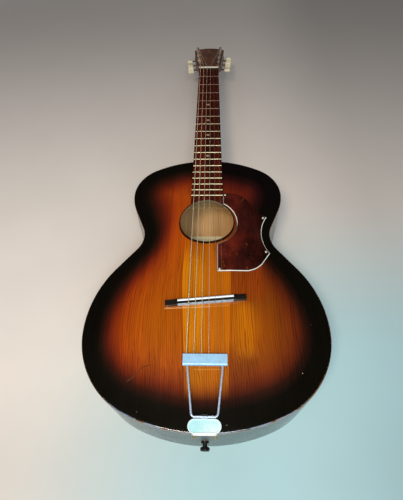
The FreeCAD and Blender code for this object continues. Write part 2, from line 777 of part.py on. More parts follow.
def heel():
    """Heel that drops from the neck down the end of the body."""
    top = BOARD_LEVEL - BOARD_THICKNESS - HEEL_TOP_DROP
    sections = [
        heel_section(top, board_width(HEEL_TOP_LENGTH), HEEL_TOP_LENGTH),
        heel_section(top - HEEL_MIDDLE_DROP, HEEL_MIDDLE_WIDTH, HEEL_MIDDLE_LENGTH),
        heel_section(HEEL_BOTTOM, HEEL_BOTTOM_WIDTH, HEEL_BOTTOM_LENGTH),
    ]
    return Part.makeLoft(sections, True, False)


def head_blank():
    """Headstock in its own frame, rounded at its corners."""
    nut, base, end = NUT_WIDTH / 2, HEAD_BASE_WIDTH / 2, HEAD_END_WIDTH / 2
    right = [Vector(nut, -HEAD_ROOT, 0), Vector(nut, HEAD_FLARE_FROM, 0), Vector(base, HEAD_FLARE, 0),
             Vector(end, HEAD_CORNER_AT, 0)]
    left = [Vector(-point.x, point.y, 0) for point in reversed(right)]
    crown = Part.Arc(right[-1], Vector(0, HEAD_LENGTH, 0), left[0]).toShape()
    edges = Part.makePolygon(right).Edges + [crown] + Part.makePolygon(left).Edges
    edges.append(Part.makeLine(left[-1], right[0]))
    blank = prism(Part.Wire(edges), -HEAD_THICKNESS, 0)
    blank = rounded_uprights(blank, HEAD_CORNER_AT, HEAD_CORNER_ROUND)
    return rounded_uprights(blank, HEAD_FLARE, HEAD_BASE_ROUND)


def rounded_uprights(blank, y, radius):
    """Blank with its upright edges at one place along Y rounded."""
    edges = [edge for edge in blank.Edges if is_upright_at(edge, y)]
    return blank.makeFillet(radius, edges)


def is_upright_at(edge, y):
    """True for an upright edge at a place along Y."""
    ends = [vertex.Point for vertex in edge.Vertexes]
    if len(ends) < 2:
        return False
    level = abs(ends[0].y - y) < FIT and abs(ends[1].y - y) < FIT
    return level and abs(ends[0].x - ends[1].x) < FIT and abs(ends[0].z - ends[1].z) > FIT


def neck():
    """Neck in one piece with its heel, dovetail, headstock and the tongue under the board."""
    shaft_end = HALF_SCALE + NUT_LENGTH
    body_end = BODY_FRET_INSET - OVERRUN
    sections = [shaft_section(body_end, NECK_DEPTH_AT_BODY), shaft_section(shaft_end, NECK_DEPTH_AT_NUT)]
    shaft = Part.makeLoft(sections, True, True)
    head = placed(head_blank(), HEAD_FRAME)
    seat = box(span(HEAD_END_WIDTH), (-HALF_SCALE, shaft_end), (-BOARD_THICKNESS, HEAD_ROOT))
    outside = fuse([placed(shaft, NECK_FRAME), heel(), head])
    outside = outside.cut(prism(body_outline(-FIT), 0, ARCH_CEILING))
    tongue = placed(board_blank(-BOARD_THICKNESS - BOARD_RISE, -BOARD_THICKNESS, 0), NECK_FRAME)
    ahead = box(span(LOWER_BOUT), (NECK_END + OVERRUN, SCALE_LENGTH), (0, 2 * BOARD_LEVEL))
    tongue = tongue.cut(ahead).cut(under_arch(FIT)).cut(BOARD_END)
    rod_room = placed(rod_blank(FIT), NECK_FRAME)
    whole = fuse([outside, tongue, tenon(0)]).cut(placed(seat, NECK_FRAME))
    return whole.cut(rod_room).cut(head_bores())


def rod_blank(grow):
    """Square bar let into the neck under the board, in the neck frame."""
    ends = (ROD_START - grow, HALF_SCALE - ROD_END_CLEAR + grow)
    return box(span(ROD_WIDTH + 2 * grow), ends, (-BOARD_THICKNESS - ROD_HEIGHT - grow, -BOARD_THICKNESS))


def neck_bar():
    """Reinforcement bar of the neck."""
    return placed(rod_blank(0), NECK_FRAME)


def nut():
    """Nut behind the board, with a slot for each string."""
    low, high = HALF_SCALE, HALF_SCALE + NUT_LENGTH
    corners = [Vector(0, low, -BOARD_THICKNESS), Vector(0, high, -BOARD_THICKNESS),
               Vector(0, high, NUT_HEIGHT - NUT_SLOPE), Vector(0, low, NUT_HEIGHT)]
    face = Part.Face(polygon(corners))
    face.translate(Vector(-NUT_WIDTH / 2, 0, 0))
    block = placed(face.extrude(Vector(NUT_WIDTH, 0, 0)), NECK_FRAME)
    return block.cut(Part.makeCompound([string_run(number, STRING_CLEAR) for number in range(STRING_COUNT)]))


# Tuners
EDGE_SLANT = math.atan2((HEAD_END_WIDTH - HEAD_BASE_WIDTH) / 2, HEAD_CORNER_AT - HEAD_FLARE)
PER_SIDE = STRING_COUNT // 2


def post_place(row):
    """Place of a treble post on the face, in the headstock frame."""
    along = row * POST_SPACING
    x = POST_FIRST_X + along * math.sin(EDGE_SLANT)
    return Vector(x, POST_FIRST_AT + along * math.cos(EDGE_SLANT), 0)


def tuner_row(number):
    """Row of a string's tuner, counted from the nut: bass side outwards, then treble side back."""
    return number if number < PER_SIDE else STRING_COUNT - 1 - number


def tuner_side(number):
    """Side of the headstock that a string's tuner is on: -1 bass, 1 treble."""
    return -1 if number < PER_SIDE else 1


def tuner_frame(row):
    """Frame of a treble tuner in the headstock frame."""
    return Placement(post_place(row), Rotation(Z_AXIS, -math.degrees(EDGE_SLANT)))


def on_head(shape, number):
    """Tuner piece moved from its own frame to its place on the headstock."""
    piece = placed(shape, tuner_frame(tuner_row(number)))
    if tuner_side(number) < 0:
        piece = mirrored(piece)
    return placed(piece, HEAD_FRAME)


def head_bores():
    """Holes through the headstock for the posts and their bushings, and for the plate screws."""
    bores = []
    for number in range(STRING_COUNT):
        low, high = Vector(0, 0, -HEAD_THICKNESS - OVERRUN), Vector(0, 0, OVERRUN)
        post = rod(POST_WIDTH + 2 * POST_FIT, low, high)
        bushing = rod(BUSHING_WIDTH + 2 * FIT, Vector(0, 0, -BUSHING_LENGTH), high)
        bores.append(on_head(fuse([post, bushing]), number))
    for place, number in plate_screw_places():
        low = place + Vector(0, 0, -HEAD_THICKNESS - OVERRUN)
        high = place + Vector(0, 0, -HEAD_THICKNESS + PLATE_SCREW_LENGTH)
        bores.append(on_head(rod(PLATE_SCREW_SHANK + 2 * FIT, low, high), number))
    return Part.makeCompound(bores)


def post_bushings():
    """Flanged bushings that guide the posts at the face of the headstock."""
    rings = []
    for number in range(STRING_COUNT):
        sleeve = rod(BUSHING_WIDTH, Vector(0, 0, -BUSHING_LENGTH), ORIGIN)
        flange = rod(BUSHING_FLANGE, ORIGIN, Vector(0, 0, BUSHING_FLANGE_HEIGHT))
        bore = rod(POST_WIDTH + 2 * POST_FIT, Vector(0, 0, -BUSHING_LENGTH), Vector(0, 0, OVERRUN))
        rings.append(on_head(fuse([sleeve, flange]).cut(bore), number))
    return Part.makeCompound(rings)


GEAR_PITCH_WIDTH = GEAR_TEETH * GEAR_MODULE
WORM_LEAD = math.pi * GEAR_MODULE
WORM_LENGTH = WORM_TURNS * WORM_LEAD
WORM_Y = (GEAR_PITCH_WIDTH + WORM_PITCH_WIDTH) / 2 + WORM_CLEAR
GEAR_LEVEL = -HEAD_THICKNESS - PLATE_THICKNESS - GEAR_DROP
GEAR_LOW = GEAR_LEVEL - GEAR_WIDTH / 2
EAR_INNER = WORM_LENGTH / 2 + WORM_ROOT_THREAD + EAR_GAP
WORM_AXIS_POINT = Vector(0, WORM_Y, GEAR_LEVEL)


def string_post():
    """Post with a cross hole for the string; it runs down through the plate into the gear."""
    shaft = rod(POST_WIDTH, Vector(0, 0, GEAR_LOW), Vector(0, 0, POST_HEIGHT))
    z = POST_HEIGHT - POST_HOLE_DROP
    return shaft.cut(rod(POST_HOLE, Vector(-POST_WIDTH, 0, z), Vector(POST_WIDTH, 0, z)))


def tuner_gear():
    """Toothed wheel on the foot of the post, with the screw that holds it."""
    root = GEAR_PITCH_WIDTH / 2 - GEAR_DEDENDUM
    tip = GEAR_PITCH_WIDTH / 2 + GEAR_ADDENDUM
    corners = []
    for tooth in range(GEAR_TEETH):
        turn = 2 * math.pi * tooth / GEAR_TEETH + math.pi / 2
        out = Vector(math.cos(turn), math.sin(turn), 0)
        along = Vector(-math.sin(turn), math.cos(turn), 0)
        corners.append(out * root - along * (GEAR_ROOT_TOOTH / 2))
        corners.append(out * tip - along * (GEAR_TIP / 2))
        corners.append(out * tip + along * (GEAR_TIP / 2))
        corners.append(out * root + along * (GEAR_ROOT_TOOTH / 2))
    wheel = prism(polygon(corners), GEAR_LOW, GEAR_LOW + GEAR_WIDTH)
    wheel = wheel.cut(rod(POST_WIDTH + FIT, Vector(0, 0, GEAR_LOW), Vector(0, 0, GEAR_LOW + GEAR_WIDTH)))
    low = GEAR_LOW - GEAR_SCREW_HEIGHT
    head = rod(GEAR_SCREW_HEAD, Vector(0, 0, low), Vector(0, 0, GEAR_LOW))
    slot = box(span(POST_WIDTH), span(GEAR_SCREW_SLOT), (low - OVERRUN, low + GEAR_SCREW_SLOT_DEPTH))
    return Part.makeCompound([wheel, head.cut(slot)])


def tuner_worm():
    """Worm with its shaft: one thread that gears with the wheel, and a plain shaft out to the button."""
    pitch_radius = WORM_PITCH_WIDTH / 2
    root = pitch_radius - WORM_DEDENDUM
    tip = pitch_radius + WORM_ADDENDUM
    helix = Part.makeHelix(WORM_LEAD, WORM_LENGTH, root)
    sunk = root - WORM_SINK
    corners = [Vector(sunk, 0, -WORM_ROOT_THREAD / 2), Vector(tip, 0, -WORM_TIP / 2),
               Vector(tip, 0, WORM_TIP / 2), Vector(sunk, 0, WORM_ROOT_THREAD / 2)]
    thread = Part.Wire(helix.Edges).makePipeShell([polygon(corners)], True, True)
    thread.translate(Vector(0, 0, -WORM_LENGTH / 2))
    core = rod(2 * root, Vector(0, 0, -EAR_INNER + EAR_GAP), Vector(0, 0, EAR_INNER - EAR_GAP))
    inner_end = -EAR_INNER - EAR_THICKNESS
    outer_end = BUTTON_CENTRE - BUTTON_LENGTH / 2 + BUTTON_BORE_SHARE * BUTTON_LENGTH
    shaft = rod(SHAFT_WIDTH, Vector(0, 0, inner_end), Vector(0, 0, outer_end))
    worm = fuse([core, thread, shaft])
    worm.rotate(ORIGIN, Z_AXIS, worm_turn())
    worm.rotate(ORIGIN, Y_AXIS, math.degrees(math.pi / 2))
    worm.translate(WORM_AXIS_POINT)
    return worm


def worm_turn():
    """Turn in degrees that puts a gap of the thread over the tooth that faces the worm."""
    threads_to_centre = WORM_TURNS / 2 - WORM_TURNS // 2
    return -math.degrees(math.pi / 2) + math.degrees(2 * math.pi) * (threads_to_centre + 1 / 2)


def tuner_button(turn):
    """Rounded flat button on the end of the shaft, at a turn about it."""
    body = box(span(BUTTON_LENGTH), span(BUTTON_WIDTH), span(BUTTON_THICKNESS))
    body = body.makeFillet(BUTTON_ROUND, body.Edges)
    start = -BUTTON_LENGTH / 2
    bore_end = start + BUTTON_BORE_SHARE * BUTTON_LENGTH + FIT
    body = body.cut(rod(SHAFT_WIDTH + FIT, Vector(start - OVERRUN, 0, 0), Vector(bore_end, 0, 0)))
    body.rotate(ORIGIN, X_AXIS, turn)
    body.translate(WORM_AXIS_POINT + Vector(BUTTON_CENTRE, 0, 0))
    return body


def plate_screw_places():
    """Places of the plate screws in a tuner frame, with the string whose tuner they are beside."""
    places = []
    for first, last in ((0, PER_SIDE - 1), (STRING_COUNT - 1, PER_SIDE)):
        step = 1 if last > first else -1
        places.append((Vector(0, -PLATE_END + PLATE_SCREW_HEAD, 0), first))
        for number in range(first, last + step, step):
            end = POST_SPACING / 2 if number != last else PLATE_END - PLATE_SCREW_HEAD / 2
            places.append((Vector(0, max(end, WORM_Y + EAR_WIDTH), 0), number))
    return places


def tuner_plate(side):
    """Plate along one side of the headstock's back with the ears that carry the three worms."""
    numbers = range(PER_SIDE) if side < 0 else range(STRING_COUNT - 1, PER_SIDE - 1, -1)
    low = -HEAD_THICKNESS - PLATE_THICKNESS
    length = (PER_SIDE - 1) * POST_SPACING
    strip = box((-PLATE_INNER, PLATE_WIDTH - PLATE_INNER), (-PLATE_END, length + PLATE_END + EAR_WIDTH),
                (low, -HEAD_THICKNESS))
    pieces = [on_head(strip, numbers[0])]
    cuts = []
    for number in numbers:
        for end in (-EAR_INNER - EAR_THICKNESS, EAR_INNER):
            ear = box((end, end + EAR_THICKNESS), (WORM_Y - EAR_WIDTH / 2, WORM_Y + EAR_WIDTH / 2),
                      (GEAR_LEVEL - SHAFT_WIDTH / 2 - EAR_EDGE, low))
            pieces.append(on_head(ear, number))
        reach = Vector(EAR_INNER + EAR_THICKNESS + OVERRUN, 0, 0)
        bore = rod(SHAFT_WIDTH + 2 * POST_FIT, WORM_AXIS_POINT - reach, WORM_AXIS_POINT + reach)
        hole = rod(POST_WIDTH + 2 * POST_FIT, Vector(0, 0, low - FIT), Vector(0, 0, OVERRUN - HEAD_THICKNESS))
        cuts += [on_head(bore, number), on_head(hole, number)]
    for place, number in plate_screw_places():
        if tuner_side(number) == side:
            top, bottom = place + Vector(0, 0, -HEAD_THICKNESS + OVERRUN), place + Vector(0, 0, low - FIT)
            cuts.append(on_head(rod(PLATE_SCREW_SHANK + 2 * FIT, bottom, top), number))
    return fuse(pieces).cut(Part.makeCompound(cuts))


def plate_screws():
    """Screws that hold the tuner plates to the back of the headstock."""
    screws = []
    for place, number in plate_screw_places():
        screw = domed_screw(PLATE_SCREW_HEAD, PLATE_SCREW_DOME, PLATE_SCREW_SHANK, PLATE_SCREW_LENGTH)
        screw.rotate(ORIGIN, X_AXIS, math.degrees(math.pi))
        screw.translate(place + Vector(0, 0, -HEAD_THICKNESS - PLATE_THICKNESS))
        screws.append(on_head(screw, number))
    return Part.makeCompound(screws)


# Strings
def string_x(number, across):
    """Place of a string across a span at the nut or the saddle."""
    return across * (number / (STRING_COUNT - 1) - 1 / 2)


def string_height(y):
    """Height of the underside of the strings over the board, in the neck frame."""
    at_body = FRET_CROWN + STRING_ACTION
    return at_body + (STRING_AT_NUT - at_body) * y / HALF_SCALE


def saddle_point(number):
    """Middle of a string where it crosses the saddle."""
    x = string_x(number, SADDLE_SPAN)
    y = BRIDGE_Y + x * math.tan(math.radians(BRIDGE_SLANT)) - BODY_FRET_Y
    return NECK_FRAME.multVec(Vector(x, y, string_height(y) + STRING_WIDTHS[number] / 2))


def nut_point(number):
    """Middle of a string where it bends over the nut."""
    y = HALF_SCALE + NUT_LENGTH / 2
    x = string_x(number, NUT_SPAN)
    return NECK_FRAME.multVec(Vector(x, y, string_height(HALF_SCALE) + STRING_WIDTHS[number] / 2))


HINGE_POINT = Vector(0, HINGE_Y, BODY_DEPTH + SHEET + HINGE_CLEAR + WIRE_WIDTH / 2)
BRIDGE_REACH = BRIDGE_Y - BODY_FRET_Y
PULL = NECK_FRAME.multVec(Vector(0, BRIDGE_REACH, string_height(BRIDGE_REACH))) - HINGE_POINT
PULL_ANGLE = math.degrees(math.atan2(PULL.z, PULL.y))
TAILPIECE_FRAME = Placement(HINGE_POINT, Rotation(X_AXIS, PULL_ANGLE))
BAR_END = WIRE_LENGTH + BAR_DEPTH
BALL_Y = BAR_END - SHEET - BALL_GAP - BALL_WIDTH / 2


def ball_point(number):
    """Middle of a string's ball end, behind the lip of the string bar."""
    return TAILPIECE_FRAME.multVec(Vector(string_x(number, BAR_SPAN), BALL_Y, -BAR_STRING_DROP))


def wind_radius(number):
    """Radius of a string's windings about its post, to the middle of the string."""
    return POST_WIDTH / 2 + WIND_GAP + STRING_WIDTHS[number] / 2


def wind_start(number):
    """Angle at which a string meets its post, and the point, in the headstock frame."""
    side = tuner_side(number)
    post = post_place(tuner_row(number))
    centre = Vector(side * post.x, post.y, WIND_HEIGHT)
    away = HEAD_FRAME.inverse().multVec(nut_point(number)) - centre
    apart = math.hypot(away.x, away.y)
    turn = math.atan2(away.y, away.x) - side * math.acos(wind_radius(number) / apart)
    return turn, wind_point(number, turn, 0)


def wind_point(number, turn, quarter):
    """Point on a string's winding after some quarter turns, in the headstock frame."""
    side = tuner_side(number)
    post = post_place(tuner_row(number))
    angle = turn - side * quarter * math.pi / 2
    radius = wind_radius(number)
    height = WIND_HEIGHT - wind_pitch(number) * quarter / QUARTERS
    return Vector(side * post.x + radius * math.cos(angle), post.y + radius * math.sin(angle), height)


def wind_pitch(number):
    """Drop of a string's winding in one turn."""
    return STRING_WIDTHS[number] + WIND_SPACE


def wind_direction(number, turn, quarter):
    """Direction of a string along its winding, in the headstock frame."""
    side = tuner_side(number)
    angle = turn - side * quarter * math.pi / 2
    circle = 2 * math.pi * wind_radius(number)
    slope = Vector(side * math.sin(angle) * circle, -side * math.cos(angle) * circle, -wind_pitch(number))
    return slope.normalize()


def arc_from(start, direction, end):
    """Arc that leaves a point in a direction and ends at another point."""
    chord = end - start
    along = Vector(chord).normalize()
    aside = direction - along * direction.dot(along)
    if aside.Length < 1e-9:
        return Part.LineSegment(start, end).toShape()
    lean = math.atan2(aside.Length, direction.dot(along))
    middle = start + chord * (1 / 2) + aside.normalize() * (chord.Length / 2 * math.tan(lean / 2))
    return Part.Arc(start, middle, end).toShape()


def biarc(start, leave, end, arrive):
    """Two tangent arcs between two points, with the directions at both."""
    chord = end - start
    both = leave + arrive
    bend = 2 * (1 - leave.dot(arrive))
    reach = chord.dot(both)
    step = (math.sqrt(reach ** 2 + bend * chord.dot(chord)) - reach) / bend
    middle = (start + end + (leave - arrive) * step) * (1 / 2)
    second = arc_from(end, arrive * -1, middle)
    return [arc_from(start, leave, middle), second]


def bent_path(points, radius):
    """Straight runs through points, joined by tangent arcs at the corners."""
    edges = []
    start = points[0]
    for before, corner, after in zip(points, points[1:], points[2:]):
        came = (corner - before).normalize()
        goes = (after - corner).normalize()
        cut = radius * math.tan(came.getAngle(goes) / 2)
        enter, leave = corner - came * cut, corner + goes * cut
        edges.append(Part.LineSegment(start, enter).toShape())
        edges.append(arc_from(enter, came, leave))
        start = leave
    edges.append(Part.LineSegment(start, points[-1]).toShape())
    return edges


def tube(edges, width):
    """Round solid of a given diameter drawn along joined edges."""
    first = edges[0]
    begin = first.valueAt(first.FirstParameter)
    along = first.tangentAt(first.FirstParameter)
    ring = Part.Wire([Part.Circle(begin, along, width / 2).toShape()])
    return Part.Wire(edges).makePipeShell([ring], True, False)


def string_corners(number):
    """Corner points of a string from its ball end to its post."""
    post_point = HEAD_FRAME.multVec(wind_start(number)[1])
    return [ball_point(number), saddle_point(number), nut_point(number), post_point]


def string_run(number, grow):
    """String from ball end to post without its windings, made thicker all round by an amount."""
    return tube(bent_path(string_corners(number), STRING_BEND), STRING_WIDTHS[number] + 2 * grow)


def winding_edges(number):
    """Edges of a string's windings on its post, which start along the string."""
    turn = wind_start(number)[0]
    corners = string_corners(number)
    point = corners[-1]
    direction = (corners[-1] - corners[-2]).normalize()
    edges = []
    for quarter in range(1, WIND_TURNS * QUARTERS + 1):
        next_point = HEAD_FRAME.multVec(wind_point(number, turn, quarter))
        next_direction = HEAD_FRAME.Rotation.multVec(wind_direction(number, turn, quarter))
        edges += biarc(point, direction, next_point, next_direction)
        point, direction = next_point, next_direction
    return edges


def guitar_string(number):
    """Whole string: ball end, run over saddle and nut, and windings on its post."""
    edges = bent_path(string_corners(number), STRING_BEND) + winding_edges(number)
    cord = tube(edges, STRING_WIDTHS[number])
    length = sum(edge.Length for edge in edges)
    section = math.pi * (STRING_WIDTHS[number] / 2) ** 2
    print("string", STRING_COUNT - number, "length", round(length, 1), "winding radius", wind_radius(number),
          "volume over section and length", round(cord.Volume / length / section, 4),
          "least winding gap", round(winding_gap(number), 3))
    half = Vector(BALL_LENGTH / 2, 0, 0)
    ball = rod(BALL_WIDTH, ball_point(number) - half, ball_point(number) + half)
    return fuse([cord, ball])


def winding_gap(number):
    """Least gap between neighbouring turns of a winding, measured on points along it."""
    points = [edge.valueAt(edge.FirstParameter) for edge in winding_edges(number)]
    per_turn = 2 * QUARTERS
    pairs = zip(points, points[per_turn:])
    return min(first.distanceToPoint(second) for first, second in pairs) - STRING_WIDTHS[number]


# Bridge and pickguard
SADDLE_LEVEL = saddle_point(STRING_COUNT - 1).z - STRING_WIDTHS[-1] / 2 + SADDLE_NOTCH - BODY_DEPTH
RIDGE_LEVEL = SADDLE_LEVEL - SADDLE_STAND


def bridge_base():
    """Bridge with low ends and a raised, bevelled middle, fitted to the arch and slotted for the saddle."""
    half = BRIDGE_LENGTH / 2
    end_level = ARCH_RISE + BRIDGE_END_HEIGHT
    inner = half - BRIDGE_END_LENGTH
    ridge = inner - BRIDGE_STEP_LENGTH
    right = [(half, 0), (half, end_level), (inner, end_level), (ridge, RIDGE_LEVEL)]
    points = right + [(-x, z) for x, z in reversed(right)]
    face = Part.Face(polygon([Vector(x, -BRIDGE_DEPTH / 2, z) for x, z in points]))
    block = face.extrude(Vector(0, BRIDGE_DEPTH, 0))
    bevels = []
    for side in (-1, 1):
        outer = side * (BRIDGE_DEPTH / 2)
        inner_y = outer - side * RIDGE_BEVEL
        corners = [Vector(-half, outer, RIDGE_LEVEL - RIDGE_BEVEL_DROP), Vector(-half, inner_y, RIDGE_LEVEL),
                   Vector(-half, outer, RIDGE_LEVEL)]
        bevels.append(Part.Face(polygon(corners)).extrude(Vector(BRIDGE_LENGTH, 0, 0)))
    slot = box(span(SADDLE_LENGTH + 2 * FIT), span(SADDLE_THICKNESS + 2 * FIT),
               (RIDGE_LEVEL - SADDLE_SEAT - FIT, RIDGE_LEVEL + OVERRUN))
    block = block.cut(Part.makeCompound(bevels)).cut(slot)
    return placed(block, BRIDGE_FRAME).cut(under_arch(FIT))


def bridge_saddle():
    """Saddle strip in the ridge, round along its top and notched by the strings."""
    half = SADDLE_THICKNESS / 2
    low = RIDGE_LEVEL - SADDLE_SEAT
    left = -SADDLE_LENGTH / 2
    foot, brow = Vector(left, -half, low), Vector(left, -half, SADDLE_LEVEL - half / 2)
    back_brow, back_foot = Vector(left, half, SADDLE_LEVEL - half / 2), Vector(left, half, low)
    top = Part.Arc(brow, Vector(left, 0, SADDLE_LEVEL), back_brow).toShape()
    edges = [Part.makeLine(foot, brow), top, Part.makeLine(back_brow, back_foot),
             Part.makeLine(back_foot, foot)]
    strip = Part.Face(Part.Wire(edges)).extrude(Vector(SADDLE_LENGTH, 0, 0))
    runs = Part.makeCompound([string_run(number, STRING_CLEAR) for number in range(STRING_COUNT)])
    return placed(strip, BRIDGE_FRAME).cut(runs)


def guard_outline():
    """Pickguard outline: along the board, round the soundhole, down to its foot and out to two horns."""
    top = SOUNDHOLE_Y + GUARD_TOP_AT
    ring = SOUNDHOLE_WIDTH / 2 + GUARD_HOLE_CLEAR
    ring_y = SOUNDHOLE_Y - GUARD_RING_DROP
    board_x = board_width(top - BODY_FRET_Y) / 2 + GUARD_BOARD_CLEAR
    left_x = GUARD_LEFT_X
    bottom = SOUNDHOLE_Y + GUARD_BOTTOM_AT
    high_horn = Vector(GUARD_HORN_X, SOUNDHOLE_Y + GUARD_UPPER_HORN_AT, 0)
    low_horn = Vector(GUARD_HORN_X, SOUNDHOLE_Y + GUARD_LOWER_HORN_AT, 0)
    ring_start = Vector(board_x, ring_y + math.sqrt(ring ** 2 - (board_x - GUARD_RING_X) ** 2), 0)
    ring_end = Vector(left_x, ring_y - math.sqrt(ring ** 2 - (left_x - GUARD_RING_X) ** 2), 0)
    corner = Vector(board_x, top, 0)
    crown = Vector(GUARD_CROWN_X, top + GUARD_THICKNESS, 0)
    neck_point = Vector(GUARD_NECK_X, SOUNDHOLE_Y + GUARD_NECK_AT, 0)
    foot_left = Vector(left_x, bottom, 0)
    foot_right = Vector(GUARD_FOOT_X, bottom + GUARD_THICKNESS, 0)
    toe = Vector(GUARD_TOE_X, SOUNDHOLE_Y + GUARD_TOE_AT, 0)
    heel_point = Vector(GUARD_HEEL_X, SOUNDHOLE_Y + GUARD_HEEL_AT, 0)
    edges = [
        Part.makeLine(corner, ring_start),
        Part.Arc(ring_start, Vector(GUARD_RING_X + ring, ring_y, 0), ring_end).toShape(),
        Part.makeLine(ring_end, foot_left),
        Part.makeLine(foot_left, foot_right),
        Part.Arc(foot_right, toe, heel_point).toShape(),
        Part.makeLine(heel_point, low_horn),
        Part.Arc(low_horn, Vector(GUARD_WAIST_X, SOUNDHOLE_Y + GUARD_WAIST_AT, 0), high_horn).toShape(),
        Part.Arc(high_horn, Vector(GUARD_DIP_X, SOUNDHOLE_Y + GUARD_DIP_AT, 0), neck_point).toShape(),
        Part.Arc(neck_point, Vector(GUARD_SHOULDER_X, SOUNDHOLE_Y + GUARD_SHOULDER_AT, 0), crown).toShape(),
        Part.makeLine(crown, corner),
    ]
    return Part.Wire(edges)


def pickguard():
    """Thin plate that follows the arch of the top."""
    blank = prism(guard_outline(), BODY_DEPTH - OVERRUN, ARCH_CEILING + BODY_DEPTH)
    plate = blank.common(under_arch(GUARD_GAP + GUARD_THICKNESS)).cut(under_arch(GUARD_GAP))
    return plate.cut(guard_bores()).cut(guard_seats())


def guard_screws():
    """Screws at the corners of the pickguard."""
    screws = []
    for place in guard_screw_places():
        screw = domed_screw(GUARD_SCREW_HEAD, GUARD_SCREW_DOME, GUARD_SCREW_SHANK, GUARD_SCREW_LENGTH)
        screw.translate(place + Vector(0, 0, guard_screw_level(place) + FIT))
        screws.append(screw)
    return Part.makeCompound(screws)


# Tailpiece and end pin
def tailpiece_wire():
    """Bent wire: across the hinge, up both legs, and turned in at the top inside the string bar."""
    hinge, top = WIRE_HINGE_WIDTH / 2, WIRE_BAR_WIDTH / 2
    corners = [Vector(top - WIRE_TURN_IN, WIRE_LENGTH, 0), Vector(top, WIRE_LENGTH, 0), Vector(hinge, 0, 0)]
    points = corners + [Vector(-corner.x, corner.y, 0) for corner in reversed(corners)]
    return placed(tube(bent_path(points, WIRE_CORNER), WIRE_WIDTH), TAILPIECE_FRAME)


def string_bar():
    """Sheet rolled round the wire at one edge and turned down to a lip with six string holes at the other."""
    bore = WIRE_WIDTH + 2 * BAR_ROLL_CLEAR
    outer = bore + 2 * SHEET
    left, right = Vector(-BAR_WIDTH / 2, WIRE_LENGTH, 0), Vector(BAR_WIDTH / 2, WIRE_LENGTH, 0)
    roll = rod(outer, left, right)
    under = box(span(BAR_WIDTH), (WIRE_LENGTH, WIRE_LENGTH + outer), (-outer, 0))
    deck = box(span(BAR_WIDTH), (WIRE_LENGTH, BAR_END), (bore / 2, outer / 2))
    lip = box(span(BAR_WIDTH), (BAR_END - SHEET, BAR_END), (-BAR_LIP, outer / 2))
    sheet = fuse([roll.cut(under), deck, lip]).cut(rod(bore, left - X_AXIS, right + X_AXIS))
    cuts = []
    for side in (-1, 1):
        middle = side * WIRE_BAR_WIDTH / 2
        half = WIRE_WIDTH / 2 + WIRE_CORNER + BAR_LEG_CLEAR
        cuts.append(box((middle - half, middle + half), (WIRE_LENGTH - outer, WIRE_LENGTH),
                        (-bore / 2, bore / 2)))
    for number in range(STRING_COUNT):
        x = string_x(number, BAR_SPAN)
        hole = STRING_WIDTHS[number] + 2 * BAR_HOLE_CLEAR
        inside = Vector(x, BAR_END - SHEET - FIT, -BAR_STRING_DROP)
        cuts.append(rod(hole, inside, inside + Vector(0, SHEET + 2 * FIT, 0)))
    return placed(sheet.cut(Part.makeCompound(cuts)), TAILPIECE_FRAME)


def stadium(width, depth, low, high, y):
    """Flat-sided oval plate between two heights, from a place along Y towards the head."""
    half = width / 2 - depth / 2
    middle = y + depth / 2
    core = box((-half, half), (y, y + depth), (low, high))
    ends = [rod(depth, Vector(x, middle, low), Vector(x, middle, high)) for x in (-half, half)]
    return fuse([core] + ends)


def tailpiece_bracket():
    """Oval plate on the top with a hook for the wire, turned down over the tail into a tab."""
    low, high = BODY_DEPTH, BODY_DEPTH + SHEET
    oval = stadium(OVAL_WIDTH, OVAL_DEPTH, low, high + OVAL_RIM_HEIGHT, TAIL)
    dish = stadium(OVAL_WIDTH - 2 * OVAL_RIM, OVAL_DEPTH - 2 * OVAL_RIM, high, high + SHEET, TAIL + OVAL_RIM)
    hinge = HINGE_POINT
    bore = WIRE_WIDTH + 2 * HINGE_CLEAR
    outer = bore + 2 * SHEET
    half = Vector(HOOK_WIDTH / 2, 0, 0)
    roll = rod(outer, hinge - half, hinge + half).cut(rod(bore, hinge - half - X_AXIS, hinge + half + X_AXIS))
    keep = box(span(HOOK_WIDTH), (hinge.y, hinge.y + outer), (low, hinge.z + HOOK_LIP))
    floor = box(span(HOOK_WIDTH), (TAIL + OVAL_DEPTH / 2, hinge.y), (low, high))
    foot_z = BODY_DEPTH - PIN_DROP - TAB_FOOT_LENGTH
    outside = TAIL - SHEET - FIT
    shoulder_z = BODY_DEPTH - TAB_SHOULDER
    right = [(TAB_WIDTH / 2, high), (TAB_WIDTH / 2, shoulder_z), (TAB_FOOT_WIDTH / 2, foot_z)]
    points = right + [(-x, z) for x, z in reversed(right)]
    tab = Part.Face(polygon([Vector(x, outside, z) for x, z in points])).extrude(Vector(0, SHEET, 0))
    bend = box(span(TAB_WIDTH), (outside, TAIL + OVAL_DEPTH / 2), (low, high))
    sheet = fuse([oval.cut(dish), bend, floor, roll.common(keep), tab])
    return sheet.cut(TAIL_BORES).cut(under_arch(FIT).common(prism(body_outline(), 0, ARCH_CEILING)))


def bracket_screws():
    """Two screws through the tab into the tail block."""
    screws = []
    for side in (-1, 1):
        screw = domed_screw(BRACKET_SCREW_HEAD, BRACKET_SCREW_DOME, BRACKET_SCREW_SHANK, BRACKET_SCREW_LENGTH)
        screw.rotate(ORIGIN, X_AXIS, math.degrees(math.pi / 2))
        outside = TAIL - SHEET - 2 * FIT
        screw.translate(Vector(side * BRACKET_SCREW_X, outside, BODY_DEPTH - BRACKET_SCREW_DROP))
        screws.append(screw)
    return Part.makeCompound(screws)


PIN_BASE = Vector(0, TAIL - SHEET - 2 * FIT, BODY_DEPTH - PIN_DROP)
PIN_BAND_Y = PIN_BASE.y - PIN_COLLAR_LENGTH - PIN_NECK_LENGTH - PIN_KNOB_LENGTH / 2


